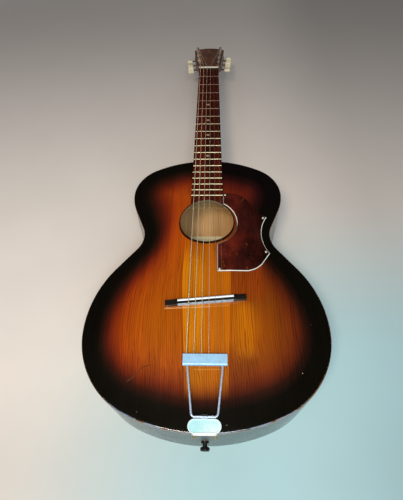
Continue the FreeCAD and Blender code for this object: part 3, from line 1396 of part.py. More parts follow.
def end_pin():
    """Turned pin: a peg in the tail block, a collar, a neck and a knob with a narrow band and a flat end."""
    peg, collar, neck_r, knob, face = (width / 2 for width in (
        PIN_PEG_WIDTH, PIN_COLLAR_WIDTH, PIN_NECK_WIDTH, PIN_KNOB_WIDTH, PIN_FACE_WIDTH))
    neck_start = PIN_COLLAR_LENGTH
    knob_start = neck_start + PIN_NECK_LENGTH
    end = knob_start + PIN_KNOB_LENGTH
    band_start = knob_start + (PIN_KNOB_LENGTH - PIN_KNOB_BAND) / 2
    band_end = band_start + PIN_KNOB_BAND
    peg_end = -PIN_PEG_LENGTH + SHEET
    outline = [Vector(0, 0, peg_end), Vector(peg, 0, peg_end), Vector(peg, 0, 0), Vector(collar, 0, 0),
               Vector(collar, 0, neck_start), Vector(neck_r, 0, neck_start), Vector(neck_r, 0, knob_start)]
    slope = math.sin(math.pi / QUARTERS)
    rise = Vector(neck_r + (knob - neck_r) * slope, 0, band_start - (band_start - knob_start) * slope)
    low_band, high_band, rim = Vector(knob, 0, band_start), Vector(knob, 0, band_end), Vector(face, 0, end)
    fall = Vector(face + (knob - face) * slope, 0, band_end + (end - band_end) * slope)
    tip = Vector(0, 0, end)
    edges = Part.makePolygon(outline).Edges
    edges.append(Part.Arc(outline[-1], rise, low_band).toShape())
    edges.append(Part.makeLine(low_band, high_band))
    edges.append(Part.Arc(high_band, fall, rim).toShape())
    edges.append(Part.makeLine(rim, tip))
    edges.append(Part.makeLine(tip, outline[0]))
    pin = Part.Face(Part.Wire(edges)).revolve(ORIGIN, Z_AXIS, math.degrees(2 * math.pi))
    pin.rotate(ORIGIN, X_AXIS, math.degrees(math.pi / 2))
    pin.translate(PIN_BASE)
    return pin


def nodes():
    """Every node of the guitar with its shape."""
    shapes = {
        "top_plate": top_plate(),
        "back_plate": back_plate(),
        "bass_side": side_wall(-1),
        "treble_side": side_wall(1),
        "neck_block": neck_block(),
        "tail_block": tail_block(),
        "top_linings": top_linings(),
        "back_linings": back_linings(),
        "top_cross_braces": cross_braces(),
        "tone_bars": tone_bars(),
        "back_braces": back_braces(),
        "neck": neck(),
        "neck_bar": neck_bar(),
        "fretboard": fretboard(),
        "frets": frets(),
        "position_dots": position_dots(),
        "nut": nut(),
        "bridge_base": bridge_base(),
        "bridge_saddle": bridge_saddle(),
        "pickguard": pickguard(),
        "pickguard_screws": guard_screws(),
        "tailpiece_bracket": tailpiece_bracket(),
        "tailpiece_wire": tailpiece_wire(),
        "string_bar": string_bar(),
        "bracket_screws": bracket_screws(),
        "end_pin": end_pin(),
        "tuner_plate_bass": tuner_plate(-1),
        "tuner_plate_treble": tuner_plate(1),
        "tuner_plate_screws": plate_screws(),
        "post_bushings": post_bushings(),
    }
    post, gear, worm = string_post(), tuner_gear(), tuner_worm()
    for number in range(STRING_COUNT):
        name = str(STRING_COUNT - number)
        shapes["string_" + name] = guitar_string(number)
        shapes["string_post_" + name] = on_head(post, number)
        shapes["tuner_gear_" + name] = on_head(gear, number)
        shapes["tuner_worm_" + name] = on_head(worm, number)
        shapes["tuner_button_" + name] = on_head(tuner_button(BUTTON_TURNS[number]), number)
    return shapes


def main():
    """Builds every node and writes one file for each."""
    os.makedirs("parts", exist_ok=True)
    for name, shape in nodes().items():
        solids = shape.Solids
        print(name, len(solids), round(shape.Volume, 1), shape.isValid())
        whole = solids[0] if len(solids) == 1 else Part.makeCompound(solids)
        whole.exportStep("parts/" + name + ".step")


if __name__ == "__main__":
    main()
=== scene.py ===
import logging
import math
from dataclasses import dataclass, field
from typing import Sequence

import bpy
import numpy as np
from mathutils import Matrix, Vector


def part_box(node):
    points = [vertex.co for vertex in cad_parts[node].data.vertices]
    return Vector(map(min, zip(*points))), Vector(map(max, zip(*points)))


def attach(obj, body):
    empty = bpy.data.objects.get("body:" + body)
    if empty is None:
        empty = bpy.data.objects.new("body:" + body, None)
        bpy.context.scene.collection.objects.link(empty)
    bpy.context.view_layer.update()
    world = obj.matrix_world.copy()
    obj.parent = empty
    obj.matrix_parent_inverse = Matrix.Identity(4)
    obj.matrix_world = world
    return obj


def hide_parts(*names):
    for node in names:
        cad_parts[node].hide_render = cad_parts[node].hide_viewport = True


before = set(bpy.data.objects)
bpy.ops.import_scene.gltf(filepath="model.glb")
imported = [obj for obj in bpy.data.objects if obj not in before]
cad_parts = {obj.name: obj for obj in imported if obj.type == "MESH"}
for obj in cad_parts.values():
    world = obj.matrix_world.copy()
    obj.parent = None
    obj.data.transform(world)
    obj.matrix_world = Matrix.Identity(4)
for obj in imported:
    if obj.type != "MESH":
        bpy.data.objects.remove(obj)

# Looks of a small archtop guitar that lies on its back: finishes for its solids, and finer surfaces for some.
# +X treble, +Y head, +Z out of the top. Lengths are in millimetres in the fields below. They are in metres in
# the meshes, and in the limits that finishes give for places on them.

LOG = logging.getLogger("guitar")
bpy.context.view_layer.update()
MM = 0.001
TURN = 2 * math.pi
FLAT = (1.0, 1.0, 0.0)
BLACK = (0.0, 0.0, 0.0, 1.0)
BACKDROP = (0.92, 0.95, 1.0, 1.0)
BACKDROP_LIGHT = 0.36
BACKDROP_SEEN = 0.72
BACKDROP_MIRRORED = 0.02
LACQUERED_SPECULAR = 0.08
BRIDGE_Y = -62.825
BRIDGE_SLANT = 5.3
BLOCK_POINTS = 4000
TINY = 1e-6
Colour = tuple[float, float, float, float]
Place = tuple[float, float, float]
Spot = tuple[float, float]


def tint(red: float, green: float, blue: float) -> Colour:
    """Linear colour of a screen colour.

    Args:
        red, green, blue: Screen values from 0 to 255.

    Returns:
        Linear red, green and blue from 0 to 1, and full alpha.
    """
    shares = [value / 255 for value in (red, green, blue)]
    linear = [s / 12.92 if s <= 0.04045 else ((s + 0.055) / 1.055) ** 2.4 for s in shares]
    return (linear[0], linear[1], linear[2], 1.0)


def stops(*rows: tuple[float, float, float, float]) -> list[tuple[float, Colour]]:
    """Stops of a colour ramp from rows of a place and a screen colour."""
    return [(row[0], tint(*row[1:])) for row in rows]


def dimmed(colour: Colour, share: float) -> Colour:
    """Share of a colour, with full alpha."""
    return (share * colour[0], share * colour[1], share * colour[2], 1.0)


def smooth_step(value: np.ndarray) -> np.ndarray:
    """Smooth step: 0 below 0, 1 above 1, and 3v^2 - 2v^3 between."""
    share = np.clip(value, 0.0, 1.0)
    return share * share * (3 - 2 * share)


# Meshes
def unit(vectors: np.ndarray) -> np.ndarray:
    """Vectors of length 1, one to a row."""
    return vectors / np.linalg.norm(vectors, axis=1, keepdims=True)


def raised(flat: np.ndarray, height: np.ndarray) -> np.ndarray:
    """Points in space from flat points and their heights."""
    return np.concatenate([flat, height[..., None]], axis=-1)


def run_length(line: np.ndarray) -> np.ndarray:
    """Distance along a line at each of its points."""
    return np.concatenate([[0], np.cumsum(np.linalg.norm(np.diff(line, axis=0), axis=1))])


def least_distance(points: np.ndarray, line: np.ndarray) -> np.ndarray:
    """Distance of flat points to the nearest point of a line, worked out in blocks that fit in memory."""
    flat = points.reshape(-1, 2)
    blocks = np.array_split(flat, max(1, len(flat) // BLOCK_POINTS))
    least = [np.sqrt(((block[:, None] - line[None]) ** 2).sum(-1)).min(1) for block in blocks]
    return np.concatenate(least).reshape(points.shape[:-1])


def grid_faces(rows: int, columns: int, round_rows: bool = False, round_columns: bool = False) -> np.ndarray:
    """Quads of a grid of points that is stored row by row.

    Args:
        rows, columns: Counts of points.
        round_rows: True where the last row joins the first.
        round_columns: True where the last column joins the first.

    Returns:
        Corner indices, four to a row.
    """
    i = np.arange(rows if round_rows else rows - 1)
    j = np.arange(columns if round_columns else columns - 1)
    first, second = np.meshgrid(i, j, indexing="ij")
    next_first, next_second = (first + 1) % rows, (second + 1) % columns
    corners = [first * columns + second, next_first * columns + second,
               next_first * columns + next_second, first * columns + next_second]
    return np.stack([corner.ravel() for corner in corners], axis=1)


def make_piece(name: str, points: np.ndarray, faces: np.ndarray,
               sharp_degrees: float = 40.0) -> bpy.types.Object:
    """Mesh object at the origin from points and quads.

    Args:
        name: Name of the piece.
        points: Places in metres, three to a row.
        faces: Corner indices, four to a row.
        sharp_degrees: Edges that bend by more stay sharp.

    Returns:
        The new object, linked to the scene.
    """
    mesh = bpy.data.meshes.new(name)
    mesh.from_pydata(points.reshape(-1, 3).tolist(), [], faces.tolist())
    mesh.polygons.foreach_set("use_smooth", np.ones(len(mesh.polygons), dtype=bool))
    mesh.set_sharp_from_angle(angle=math.radians(sharp_degrees))
    mesh.update()
    piece = bpy.data.objects.new(name, mesh)
    bpy.context.scene.collection.objects.link(piece)
    return piece


def store_values(piece: bpy.types.Object, name: str, values: np.ndarray) -> None:
    """Keeps a number at every point of a piece, for its finish to read."""
    kept = piece.data.attributes.new(name, "FLOAT", "POINT")
    kept.data.foreach_set("value", values.ravel().astype(np.float32))


def swept_tube(path: np.ndarray, radius: float, sides: int) -> tuple[np.ndarray, np.ndarray]:
    """Round tube carried along a path, closed at both ends by rings that shrink to a point.

    The profile at each path point is a circle in the plane across the path; its two axes are the sideways
    direction, found from the path's direction and a fixed helper, and the direction across both.

    Args:
        path: Points in metres, three to a row.
        radius: Radius of the tube in metres.
        sides: Points round the tube.

    Returns:
        Points of the rings, ring by ring, and the quads.
    """
    ends = np.vstack([path[:1], path, path[-1:]])
    radii = np.concatenate([[TINY], np.full(len(path), radius), [TINY]])
    along = np.gradient(path, axis=0)
    along = unit(np.vstack([along[:1], along, along[-1:]]))
    helper = np.array([0.31, 0.05, 0.95])
    aside = unit(np.cross(along, helper))
    across = np.cross(along, aside)
    turn = np.linspace(0, TURN, sides, endpoint=False)
    ring = np.cos(turn)[None, :, None] * aside[:, None] + np.sin(turn)[None, :, None] * across[:, None]
    points = ends[:, None] + radii[:, None, None] * ring
    return points, grid_faces(len(ends), sides, round_columns=True)[:, ::-1]


@dataclass(frozen=True)
class Tilt:
    """Frame that is turned about the X axis.

    Args:
        origin: Its origin in the guitar's frame.
        degrees: Its turn by the right-hand rule.
    """

    origin: Place
    degrees: float

    def turned(self, vectors: np.ndarray) -> np.ndarray:
        """Directions of this frame in the guitar's frame."""
        c, s = math.cos(math.radians(self.degrees)), math.sin(math.radians(self.degrees))
        x, y, z = np.moveaxis(np.asarray(vectors, dtype=float), -1, 0)
        return np.stack([x, c * y - s * z, s * y + c * z], axis=-1)

    def placed(self, points: np.ndarray) -> np.ndarray:
        """Points of this frame in the guitar's frame."""
        return self.turned(points) + np.array(self.origin)

    def measured(self, points: np.ndarray) -> np.ndarray:
        """Points of the guitar's frame in this frame."""
        back = Tilt((0.0, 0.0, 0.0), -self.degrees)
        return back.turned(np.asarray(points, dtype=float) - np.array(self.origin))


# Shader nodes
@dataclass(frozen=True)
class Value:
    """Output of a node; arithmetic with it adds the nodes that work out the result.

    Args:
        sheet: Sheet that the node is on.
        socket: The output.
    """

    sheet: "NodeSheet"
    socket: bpy.types.NodeSocket

    def __add__(self, other: object) -> "Value":
        """Sum."""
        return self.sheet.math("ADD", self, other)

    def __sub__(self, other: object) -> "Value":
        """Difference."""
        return self.sheet.math("SUBTRACT", self, other)

    def __rsub__(self, other: float) -> "Value":
        """Difference from a number."""
        return self.sheet.math("SUBTRACT", other, self)

    def __mul__(self, other: object) -> "Value":
        """Product."""
        return self.sheet.math("MULTIPLY", self, other)

    def __truediv__(self, other: object) -> "Value":
        """Quotient."""
        return self.sheet.math("DIVIDE", self, other)

    def __or__(self, other: object) -> "Value":
        """Union of two masks: the larger of both."""
        return self.sheet.math("MAXIMUM", self, other)


@dataclass(frozen=True)
class NodeSheet:
    """Node tree of a finish or of an effect, with short calls that add nodes and link them.

    Args:
        tree: The node tree.
    """

    tree: bpy.types.NodeTree

    def fill(self, node: bpy.types.Node, inputs: dict) -> None:
        """Links inputs of a node, by name or number, to values, or sets their own numbers and colours."""
        for key, value in inputs.items():
            if isinstance(value, Value):
                self.tree.links.new(value.socket, node.inputs[key])
            else:
                node.inputs[key].default_value = value

    def node(self, kind: str, inputs: dict, **settings: object) -> bpy.types.Node:
        """New node with its settings and its inputs."""
        made = self.tree.nodes.new(kind)
        for name, value in settings.items():
            setattr(made, name, value)
        self.fill(made, inputs)
        return made

    def outputs(self, node: bpy.types.Node) -> dict[str, Value]:
        """Outputs of a node by name."""
        return {socket.name: Value(self, socket) for socket in node.outputs}

    def value(self, kind: str, inputs: dict, output: int | str = 0, **settings: object) -> Value:
        """One output of a new node."""
        return Value(self, self.node(kind, inputs, **settings).outputs[output])

    def math(self, operation: str, first: object, second: object = 0.0, clamp: bool = False) -> Value:
        """Sum, product or other function of two numbers."""
        return self.value("ShaderNodeMath", {0: first, 1: second}, operation=operation, use_clamp=clamp)

    def vector_math(self, operation: str, first: object, second: object, output: int | str = 0) -> Value:
        """Function of two vectors."""
        return self.value("ShaderNodeVectorMath", {0: first, 1: second}, output, operation=operation)

    def mix(self, share: object, first: object, second: object, blend: str = "MIX") -> Value:
        """Colour between two colours."""
        inputs = {0: share, 6: first, 7: second}
        return self.value("ShaderNodeMix", inputs, 2, data_type="RGBA", blend_type=blend)

    def times(self, colour: Value, factor: object) -> Value:
        """Product of two colours."""
        return self.mix(1.0, colour, factor, "MULTIPLY")

    def grey(self, value: Value) -> Value:
        """Grey colour of a number."""
        return self.value("ShaderNodeCombineColor", {0: value, 1: value, 2: value})

    def ramp(self, value: Value, row: Sequence[tuple[float, Colour]]) -> Value:
        """Colour at a value along a row of stops."""
        made = self.node("ShaderNodeValToRGB", {0: value})
        elements = made.color_ramp.elements
        while len(elements) < len(row):
            elements.new(1.0)
        for element, (place, colour) in zip(elements, row):
            element.position = place
            element.color = colour
        return Value(self, made.outputs[0])

    def band(self, value: Value, low: float, high: float, at_low: float = 0.0, at_high: float = 1.0) -> Value:
        """Smooth change of a number from one value to another between two limits."""
        inputs = dict(enumerate((value, low, high, at_low, at_high)))
        return self.value("ShaderNodeMapRange", inputs, interpolation_type="SMOOTHSTEP")

    def between(self, value: Value, low: float, high: float, soft: float) -> Value:
        """1 between two limits and 0 outside, with soft ends."""
        return self.band(value, low - soft, low + soft) * self.band(value, high - soft, high + soft, 1.0, 0.0)

    def noise(self, vector: Value, scale: object, detail: float = 2.0, rough: float = 0.5) -> Value:
        """Noise from 0 to 1 about a middle of 0.5."""
        inputs = {"Vector": vector, "Scale": scale, "Detail": detail, "Roughness": rough}
        return self.value("ShaderNodeTexNoise", inputs)

    def scaled(self, vector: Value, scale: Place, turn: float = 0.0) -> Value:
        """Place turned about Z by an angle and stretched along each axis."""
        inputs = {"Vector": vector, "Rotation": (0.0, 0.0, turn), "Scale": scale}
        return self.value("ShaderNodeMapping", inputs, vector_type="POINT")

    def streaks(self, place: Value, across: float, along: float, detail: float = 2.0, rough: float = 0.5,
                turn: float = 0.0) -> Value:
        """Noise drawn out along Y.

        Args:
            place: Place on the piece.
            across, along: Counts per metre across the streaks and along them.
            detail, rough: Fineness of the noise.
            turn: Turn of the streaks about Z.

        Returns:
            Number from 0 to 1.
        """
        return self.noise(self.scaled(place, (across, along, across), turn), 1.0, detail, rough)

    def place(self) -> Value:
        """Place on the piece in metres."""
        return self.value("ShaderNodeTexCoord", {}, "Object")

    def kept(self, name: str) -> Value:
        """Number that was stored at the piece's points."""
        return self.value("ShaderNodeAttribute", {}, "Fac", attribute_name=name)

    def axes(self, vector: Value) -> list[Value]:
        """X, Y and Z of a vector."""
        return list(self.outputs(self.node("ShaderNodeSeparateXYZ", {0: vector})).values())

    def bump(self, height: Value, distance: float, strength: float) -> Value:
        """Normal tilted by a height."""
        return self.value("ShaderNodeBump", {"Strength": strength, "Distance": distance, "Height": height})

    def effect(self, group: bpy.types.NodeTree, **inputs: object) -> dict[str, Value]:
        """Results of an effect placed in this tree with its own values."""
        return self.outputs(self.node("ShaderNodeGroup", inputs, node_tree=group))


def new_effect(name: str, vectors: Sequence[str], numbers: Sequence[str],
               results: Sequence[str]) -> tuple[NodeSheet, dict[str, Value], bpy.types.Node]:
    """Empty shader node group.

    Args:
        name: Name of the effect.
        vectors, numbers: Names of what goes in.
        results: Names of the numbers that come out.

    Returns:
        Its sheet, the values that come in, and the node that takes the results.
    """
    group = bpy.data.node_groups.new(name, "ShaderNodeTree")
    kinds = ((vectors, "INPUT", "Vector"), (numbers, "INPUT", "Float"), (results, "OUTPUT", "Float"))
    for labels, way, kind in kinds:
        for label in labels:
            group.interface.new_socket(name=label, in_out=way, socket_type=f"NodeSocket{kind}")
    sheet = NodeSheet(group)
    return sheet, sheet.outputs(sheet.node("NodeGroupInput", {})), sheet.node("NodeGroupOutput", {})


class Effects:
    """Shader node groups for the finishes, each built once and used where it is needed."""

    def __init__(self) -> None:
        """Builds the groups."""
        self.grain = self.make_grain()
        self.wear = self.make_wear()
        self.smudge = self.make_smudge()
        self.mark = self.make_mark()

    def make_grain(self) -> bpy.types.NodeTree:
        """Wood grain: growth lines across X that run along Y, broad bands of tone, and fine pores.

        Returns:
            Group with a place in metres, a line spacing and a waviness in, and three masks out.
        """
        sheet, given, result = new_effect(
            "wood grain", ["Place"], ["Spacing", "Wave"], ["Lines", "Bands", "Pores"])
        place = given["Place"]
        x, _, z = sheet.axes(place)
        sway = sheet.streaks(place, 9.0, 1.6, 3.0)
        across = x + z * 0.35 + (sway - 0.5) * given["Wave"]
        uneven = sheet.streaks(place, 170.0, 2.2)
        wave = sheet.math("SINE", (across / given["Spacing"] + uneven * 2.4) * TURN) * 0.5 + 0.5
        fading = sheet.band(sheet.streaks(place, 60.0, 5.0), 0.25, 0.7, 0.3, 1.0)
        sheet.fill(result, {
            "Lines": sheet.math("POWER", wave, 3.0) * fading,
            "Bands": sheet.streaks(place, 75.0, 1.1, 3.0, 0.6),
            "Pores": sheet.band(sheet.streaks(place, 1500.0, 55.0), 0.58, 0.72)})
        return sheet.tree

    def make_wear(self) -> bpy.types.NodeTree:
        """Wear near an edge: flecks of noise that grow thicker as the distance from the edge falls.

        Returns:
            Group with a place, an edge distance, a reach and an amount in, and a mask out.
        """
        sheet, given, result = new_effect("edge wear", ["Place"], ["Edge", "Reach", "Amount"], ["Mask"])
        flecks = sheet.noise(given["Place"], 420.0, 4.0, 0.65)
        patches = sheet.noise(given["Place"], 30.0)
        near = sheet.math("SUBTRACT", 1.0, given["Edge"] / given["Reach"], clamp=True)
        sheet.fill(result, {"Mask": sheet.band(flecks + near * given["Amount"] * patches, 0.72, 0.86)})
        return sheet.tree

    def make_smudge(self) -> bpy.types.NodeTree:
        """Uneven gloss: a number that drifts between two limits in cloudy patches with fine rubbing in them.

        Returns:
            Group with a place, a patch count per metre and two limits in, and the number out.
        """
        sheet, given, result = new_effect("smudge", ["Place"], ["Patches", "Low", "High"], ["Value"])
        spread = sheet.band(sheet.noise(given["Place"], given["Patches"], 6.0, 0.62), 0.3, 0.72)
        sheet.fill(result, {"Value": given["Low"] + spread * (given["High"] - given["Low"])})
        return sheet.tree

    def make_mark(self) -> bpy.types.NodeTree:
        """Thin straight mark: 1 on the line between two points, falling to 0 at a width from it.

        Returns:
            Group with a place, two ends and a width in, and a mask out.
        """
        sheet, given, result = new_effect("mark", ["Place", "Start", "End"], ["Width"], ["Mask"])
        out = sheet.vector_math("SUBTRACT", given["Place"], given["Start"])
        run = sheet.vector_math("SUBTRACT", given["End"], given["Start"])
        along = sheet.vector_math("DOT_PRODUCT", out, run, "Value")
        share = sheet.math("DIVIDE", along, sheet.vector_math("DOT_PRODUCT", run, run, "Value"), clamp=True)
        nearest = sheet.value("ShaderNodeVectorMath", {0: run, "Scale": share}, operation="SCALE")
        apart = sheet.vector_math("DISTANCE", out, nearest, "Value")
        sheet.fill(result, {"Mask": sheet.math("SUBTRACT", 1.0, apart / given["Width"], clamp=True)})
        return sheet.tree


EFFECTS = Effects()


# Finishes
@dataclass(frozen=True)
class Finish:
    """Look of a surface.

    Args:
        name: Name of its material.
    """

    name: str

    def material(self) -> bpy.types.Material:
        """Material of this finish, built the first time it is asked for."""
        made = bpy.data.materials.get(self.name)
        if made is None or "drawn" not in made:
            made = bpy.data.materials.new(self.name)
            made.use_nodes = True
            made["drawn"] = True
            self.draw(NodeSheet(made.node_tree), made.node_tree.nodes["Principled BSDF"])
        return made

    def draw(self, sheet: NodeSheet, shader: bpy.types.Node) -> None:
        """Adds the nodes of this finish."""
        raise NotImplementedError

    def local(self, sheet: NodeSheet, place: Value, colour: Value) -> Value:
        """Tones that only some places have; a plain finish has none.

        Args:
            sheet: Sheet to draw on.
            place: Place on the piece.
            colour: Colour so far.

        Returns:
            The colour with those tones in it.
        """
        return colour

    @staticmethod
    def gloss(sheet: NodeSheet, place: Value, patches: float, low: float, high: float) -> Value:
        """Roughness that drifts between two limits, with a count of patches per metre."""
        return sheet.effect(EFFECTS.smudge, Place=place, Patches=patches, Low=low, High=high)["Value"]

    @staticmethod
    def lacquer(sheet: NodeSheet, shader: bpy.types.Node, weight: object, rough: float) -> None:
        """Sets a clear lacquer over a shader's base."""
        sheet.fill(shader, {
            "Coat Weight": weight, "Coat Roughness": rough, "Specular IOR Level": LACQUERED_SPECULAR})


@dataclass(frozen=True)
class Mark:
    """Old straight mark on the top.

    Args:
        start, end: Its ends in metres.
        width: Its width in metres.
        tone, strength: Its colour, and how far it covers what is under it.
    """

    start: Place
    end: Place
    width: float
    tone: Colour
    strength: float


# A hairline scratch in three runs, pale lines just tailward of the bridge and of the bar, and four nicks
MARKS = (
    Mark((-0.1021, -0.1737, 0.0), (-0.0926, -0.1665, 0.0), 0.0010, tint(84, 68, 48), 0.75),
    Mark((-0.0926, -0.1665, 0.0), (-0.0833, -0.1556, 0.0), 0.0010, tint(70, 52, 30), 0.85),
    Mark((-0.0833, -0.1556, 0.0), (-0.0732, -0.1532, 0.0), 0.0010, tint(60, 32, 14), 0.8),
    Mark((-0.0579, -0.0746, 0.0), (0.0054, -0.0713, 0.0), 0.0013, tint(255, 192, 112), 0.55),
    Mark((0.0054, -0.0713, 0.0), (0.0326, -0.0691, 0.0), 0.0012, tint(236, 158, 72), 0.4),
    Mark((-0.0144, -0.1586, 0.0), (0.0234, -0.1582, 0.0), 0.0012, tint(214, 150, 70), 0.5),
    Mark((0.1279, -0.1613, 0.0), (0.1284, -0.1610, 0.0), 0.0007, tint(206, 198, 184), 0.75),
    Mark((0.1476, -0.0935, 0.0), (0.1484, -0.0930, 0.0), 0.0007, tint(96, 92, 90), 0.5),
    Mark((0.0268, -0.2255, 0.0), (0.0280, -0.2250, 0.0), 0.0008, tint(140, 128, 116), 0.5),
    Mark((-0.0860, -0.2112, 0.0), (-0.0850, -0.2110, 0.0), 0.0007, tint(120, 112, 104), 0.5),
)


@dataclass(frozen=True)
class SunburstTop(Finish):
    """Lacquered spruce shaded from amber at the middle to black at the rim, with rubbed edges, old marks, and
    some painted light and shade.

    Args:
        rim, span: Widths of the black rim and of the whole shading.
        drift: How far the shading wanders.
        waist_less: How much narrower it is at the waist.
        panel_left, panel_right: Sides of the golden panel where Y is 0.
        left_lean, right_lean: Slopes of both sides.
        grain_spacing, grain_wave: Distance between growth lines, and how far they sway.
    """

    rim: float = 24.0
    span: float = 130.0
    drift: float = 9.0
    waist_less: float = 8.0
    panel_left: float = -37.3
    panel_right: float = 37.6
    left_lean: float = -0.06
    right_lean: float = 0.039
    grain_spacing: float = 3.1
    grain_wave: float = 10.0

    def burst(self, sheet: NodeSheet, place: Value) -> Value:
        """Shaded colour by the distance from the rim, redder on the bass side and towards the neck, and
        darker on the treble side as painted shade.

        Args:
            sheet: Sheet to draw on.
            place: Place on the top.

        Returns:
            Colour without grain.
        """
        x, y, _ = sheet.axes(place)
        # Depth into the shading: more at the waist, and slower to grow towards the neck and the tail
        drift = (sheet.noise(place, 9.0) - 0.5) * self.drift
        waist = sheet.between(y, -0.005, 0.085, 0.045) * self.waist_less
        start = sheet.kept("edge") / MM + drift + (waist - self.rim)
        slow = sheet.band(y, 0.05, 0.14, 1.0, 0.62) * sheet.band(y, -0.2, -0.12, 0.86, 1.0)
        depth = (start * slow + self.rim) / self.span
        bass = sheet.ramp(depth, stops(
            (0.0, 9, 6, 4), (0.14, 11, 7, 5), (0.18, 18, 10, 8), (0.23, 46, 17, 14), (0.277, 79, 23, 18),
            (0.323, 115, 35, 17), (0.37, 142, 49, 14), (0.415, 158, 60, 9), (0.46, 164, 66, 5),
            (0.55, 174, 77, 2), (0.8, 176, 86, 2)))
        bass = sheet.times(bass, sheet.grey(sheet.band(y, -0.16, 0.05, 0.92, 1.1)))
        # The treble ramp is the burst made darker throughout: painted shade on the treble side, where less
        # light falls
        treble = sheet.ramp(depth, stops(
            (0.0, 10, 8, 5), (0.2, 12, 8, 6), (0.277, 44, 16, 13), (0.37, 97, 35, 17), (0.46, 120, 50, 13),
            (0.55, 127, 58, 9), (0.74, 146, 71, 6), (0.88, 176, 94, 3)))
        redder = sheet.times(treble, (1.0, 0.66, 1.9, 1.0))
        treble = sheet.mix(sheet.band(y, 0.08, 0.15), treble, redder)
        side = sheet.band(x, -0.03, 0.035) | sheet.band(y, -0.19, -0.13, 0.75, 0.0)
        return sheet.mix(side, bass, treble)

    def local(self, sheet: NodeSheet, place: Value, colour: Value) -> Value:
        """Golden panel under the strings with dark borders, a pale strip and a patch of painted shade beside
        it.
        """
        x, y, _ = sheet.axes(place)
        bow = sheet.band(y, -0.05, 0.06, 0.0, 0.005) + y * self.left_lean
        off_left = x - bow - self.panel_left * MM
        off_right = x - y * self.right_lean - self.panel_right * MM
        inside = sheet.band(sheet.kept("edge"), 0.036, 0.067)
        reach = sheet.band(y, -0.01, 0.055, 1.0, 0.0) * inside
        # Gold between two leaning sides, brighter left of the middle and dimmed towards the tail by painted
        # shade
        panel = sheet.band(off_left, -0.0012, 0.0012) * sheet.band(off_right, -0.0008, 0.0008, 1.0, 0.0)
        glow = sheet.mix(sheet.band(x, -0.0012, 0.0004), tint(213, 129, 2), tint(190, 102, 2))
        glow = sheet.mix(sheet.band(y, -0.18, -0.11, 0.7, 0.0), glow, tint(172, 95, 2))
        colour = sheet.mix(panel * reach * 0.85, colour, glow)
        # Dark borders of the panel, and a faint seam down its middle
        left_border = sheet.between(off_left, -0.003, -0.0005, 0.0008)
        right_border = sheet.between(off_right, 0.0003, 0.0036, 0.0008)
        seam = sheet.between(x, -0.0035, 0.0, 0.0012) * 0.45
        colour = sheet.mix((left_border + right_border + seam) * reach * 0.42, colour, tint(120, 44, 6))
        # Pale strip, and a patch of painted shade, on the treble side of the panel
        strip = sheet.between(x, 0.043, 0.066, 0.009) * sheet.between(y, -0.14, -0.068, 0.012) * inside
        colour = sheet.mix(strip * 0.75, colour, tint(194, 110, 2))
        painted_shade_patch = sheet.between(x, 0.039, 0.085, 0.004) * sheet.between(y, -0.058, 0.02, 0.01)
        return sheet.mix(painted_shade_patch * 0.6, colour, tint(150, 60, 11))

    def wear_and_glint(self, sheet: NodeSheet, place: Value, colour: Value) -> Value:
        """Old marks, rubbed flecks, a pale painted highlight along the rim, and a dark ring round the
        soundhole.
        """
        flat = sheet.scaled(place, FLAT)
        for mark in MARKS:
            line = sheet.effect(EFFECTS.mark, Place=flat, Start=mark.start, End=mark.end, Width=mark.width)
            colour = sheet.mix(line["Mask"] * mark.strength, colour, mark.tone)
        x, y, _ = sheet.axes(place)
        edge = sheet.kept("edge")
        # Rubbed flecks, thicker towards the tail and the treble side, and a thin brown edge
        rubbed = sheet.band(y, -0.20, -0.02, 0.95, 0.35) + sheet.band(x, 0.06, 0.15, 0.0, 0.35)
        flecks = sheet.effect(EFFECTS.wear, Place=place, Edge=edge, Reach=0.0026, Amount=rubbed)["Mask"]
        colour = sheet.mix(flecks * 0.8, colour, tint(122, 84, 54))
        colour = sheet.mix(sheet.band(edge, 0.0002, 0.0009, 0.6, 0.0), colour, tint(134, 82, 58))
        # Pale line along the rim at the tail, broken in places: a painted highlight of the rim's glint
        pale = sheet.between(edge, 0.0004, 0.0016, 0.0004) * sheet.band(y, -0.222, -0.185, 0.75, 0.0)
        broken = sheet.band(sheet.noise(place, 55.0, 4.0, 0.7), 0.4, 0.55)
        colour = sheet.mix(pale * broken, colour, tint(136, 160, 186))
        # Dark ring round the soundhole, wider towards the tail
        ring_width = sheet.band(y, 0.040, 0.105, 0.0036, 0.0)
        ring = sheet.band(sheet.kept("hole") - ring_width, 0.0008, 0.0018, 0.95, 0.0)
        return sheet.mix(ring, colour, tint(13, 8, 6))

    def draw(self, sheet: NodeSheet, shader: bpy.types.Node) -> None:
        """Burst, golden panel, grain, marks and wear under gloss lacquer, and bare wood underneath."""
        place = sheet.place()
        spacing, wave = self.grain_spacing * MM, self.grain_wave * MM
        grain = sheet.effect(EFFECTS.grain, Place=place, Spacing=spacing, Wave=wave)
        colour = self.local(sheet, place, self.burst(sheet, place))
        colour = sheet.times(colour, sheet.grey(sheet.band(grain["Bands"], 0.33, 0.68, 0.87, 1.10)))
        colour = sheet.mix(grain["Lines"] * 0.9, colour, sheet.times(colour, (0.52, 0.36, 0.3, 1.0)))
        colour = self.wear_and_glint(sheet, place, sheet.times(colour, (1.0, 1.0, 0.4, 1.0)))
        bare = sheet.mix(grain["Bands"], tint(236, 206, 152), tint(206, 170, 116))
        under = sheet.kept("under")
        ripple = grain["Lines"] * 0.25 + sheet.noise(place, 70.0, 3.0)
        sheet.fill(shader, {
            "Base Color": sheet.mix(under, colour, bare), "Normal": sheet.bump(ripple, 0.0002, 0.35),
            "Roughness": self.gloss(sheet, place, 14.0, 0.34, 0.5)})
        self.lacquer(sheet, shader, 1.0 - under, 0.07)


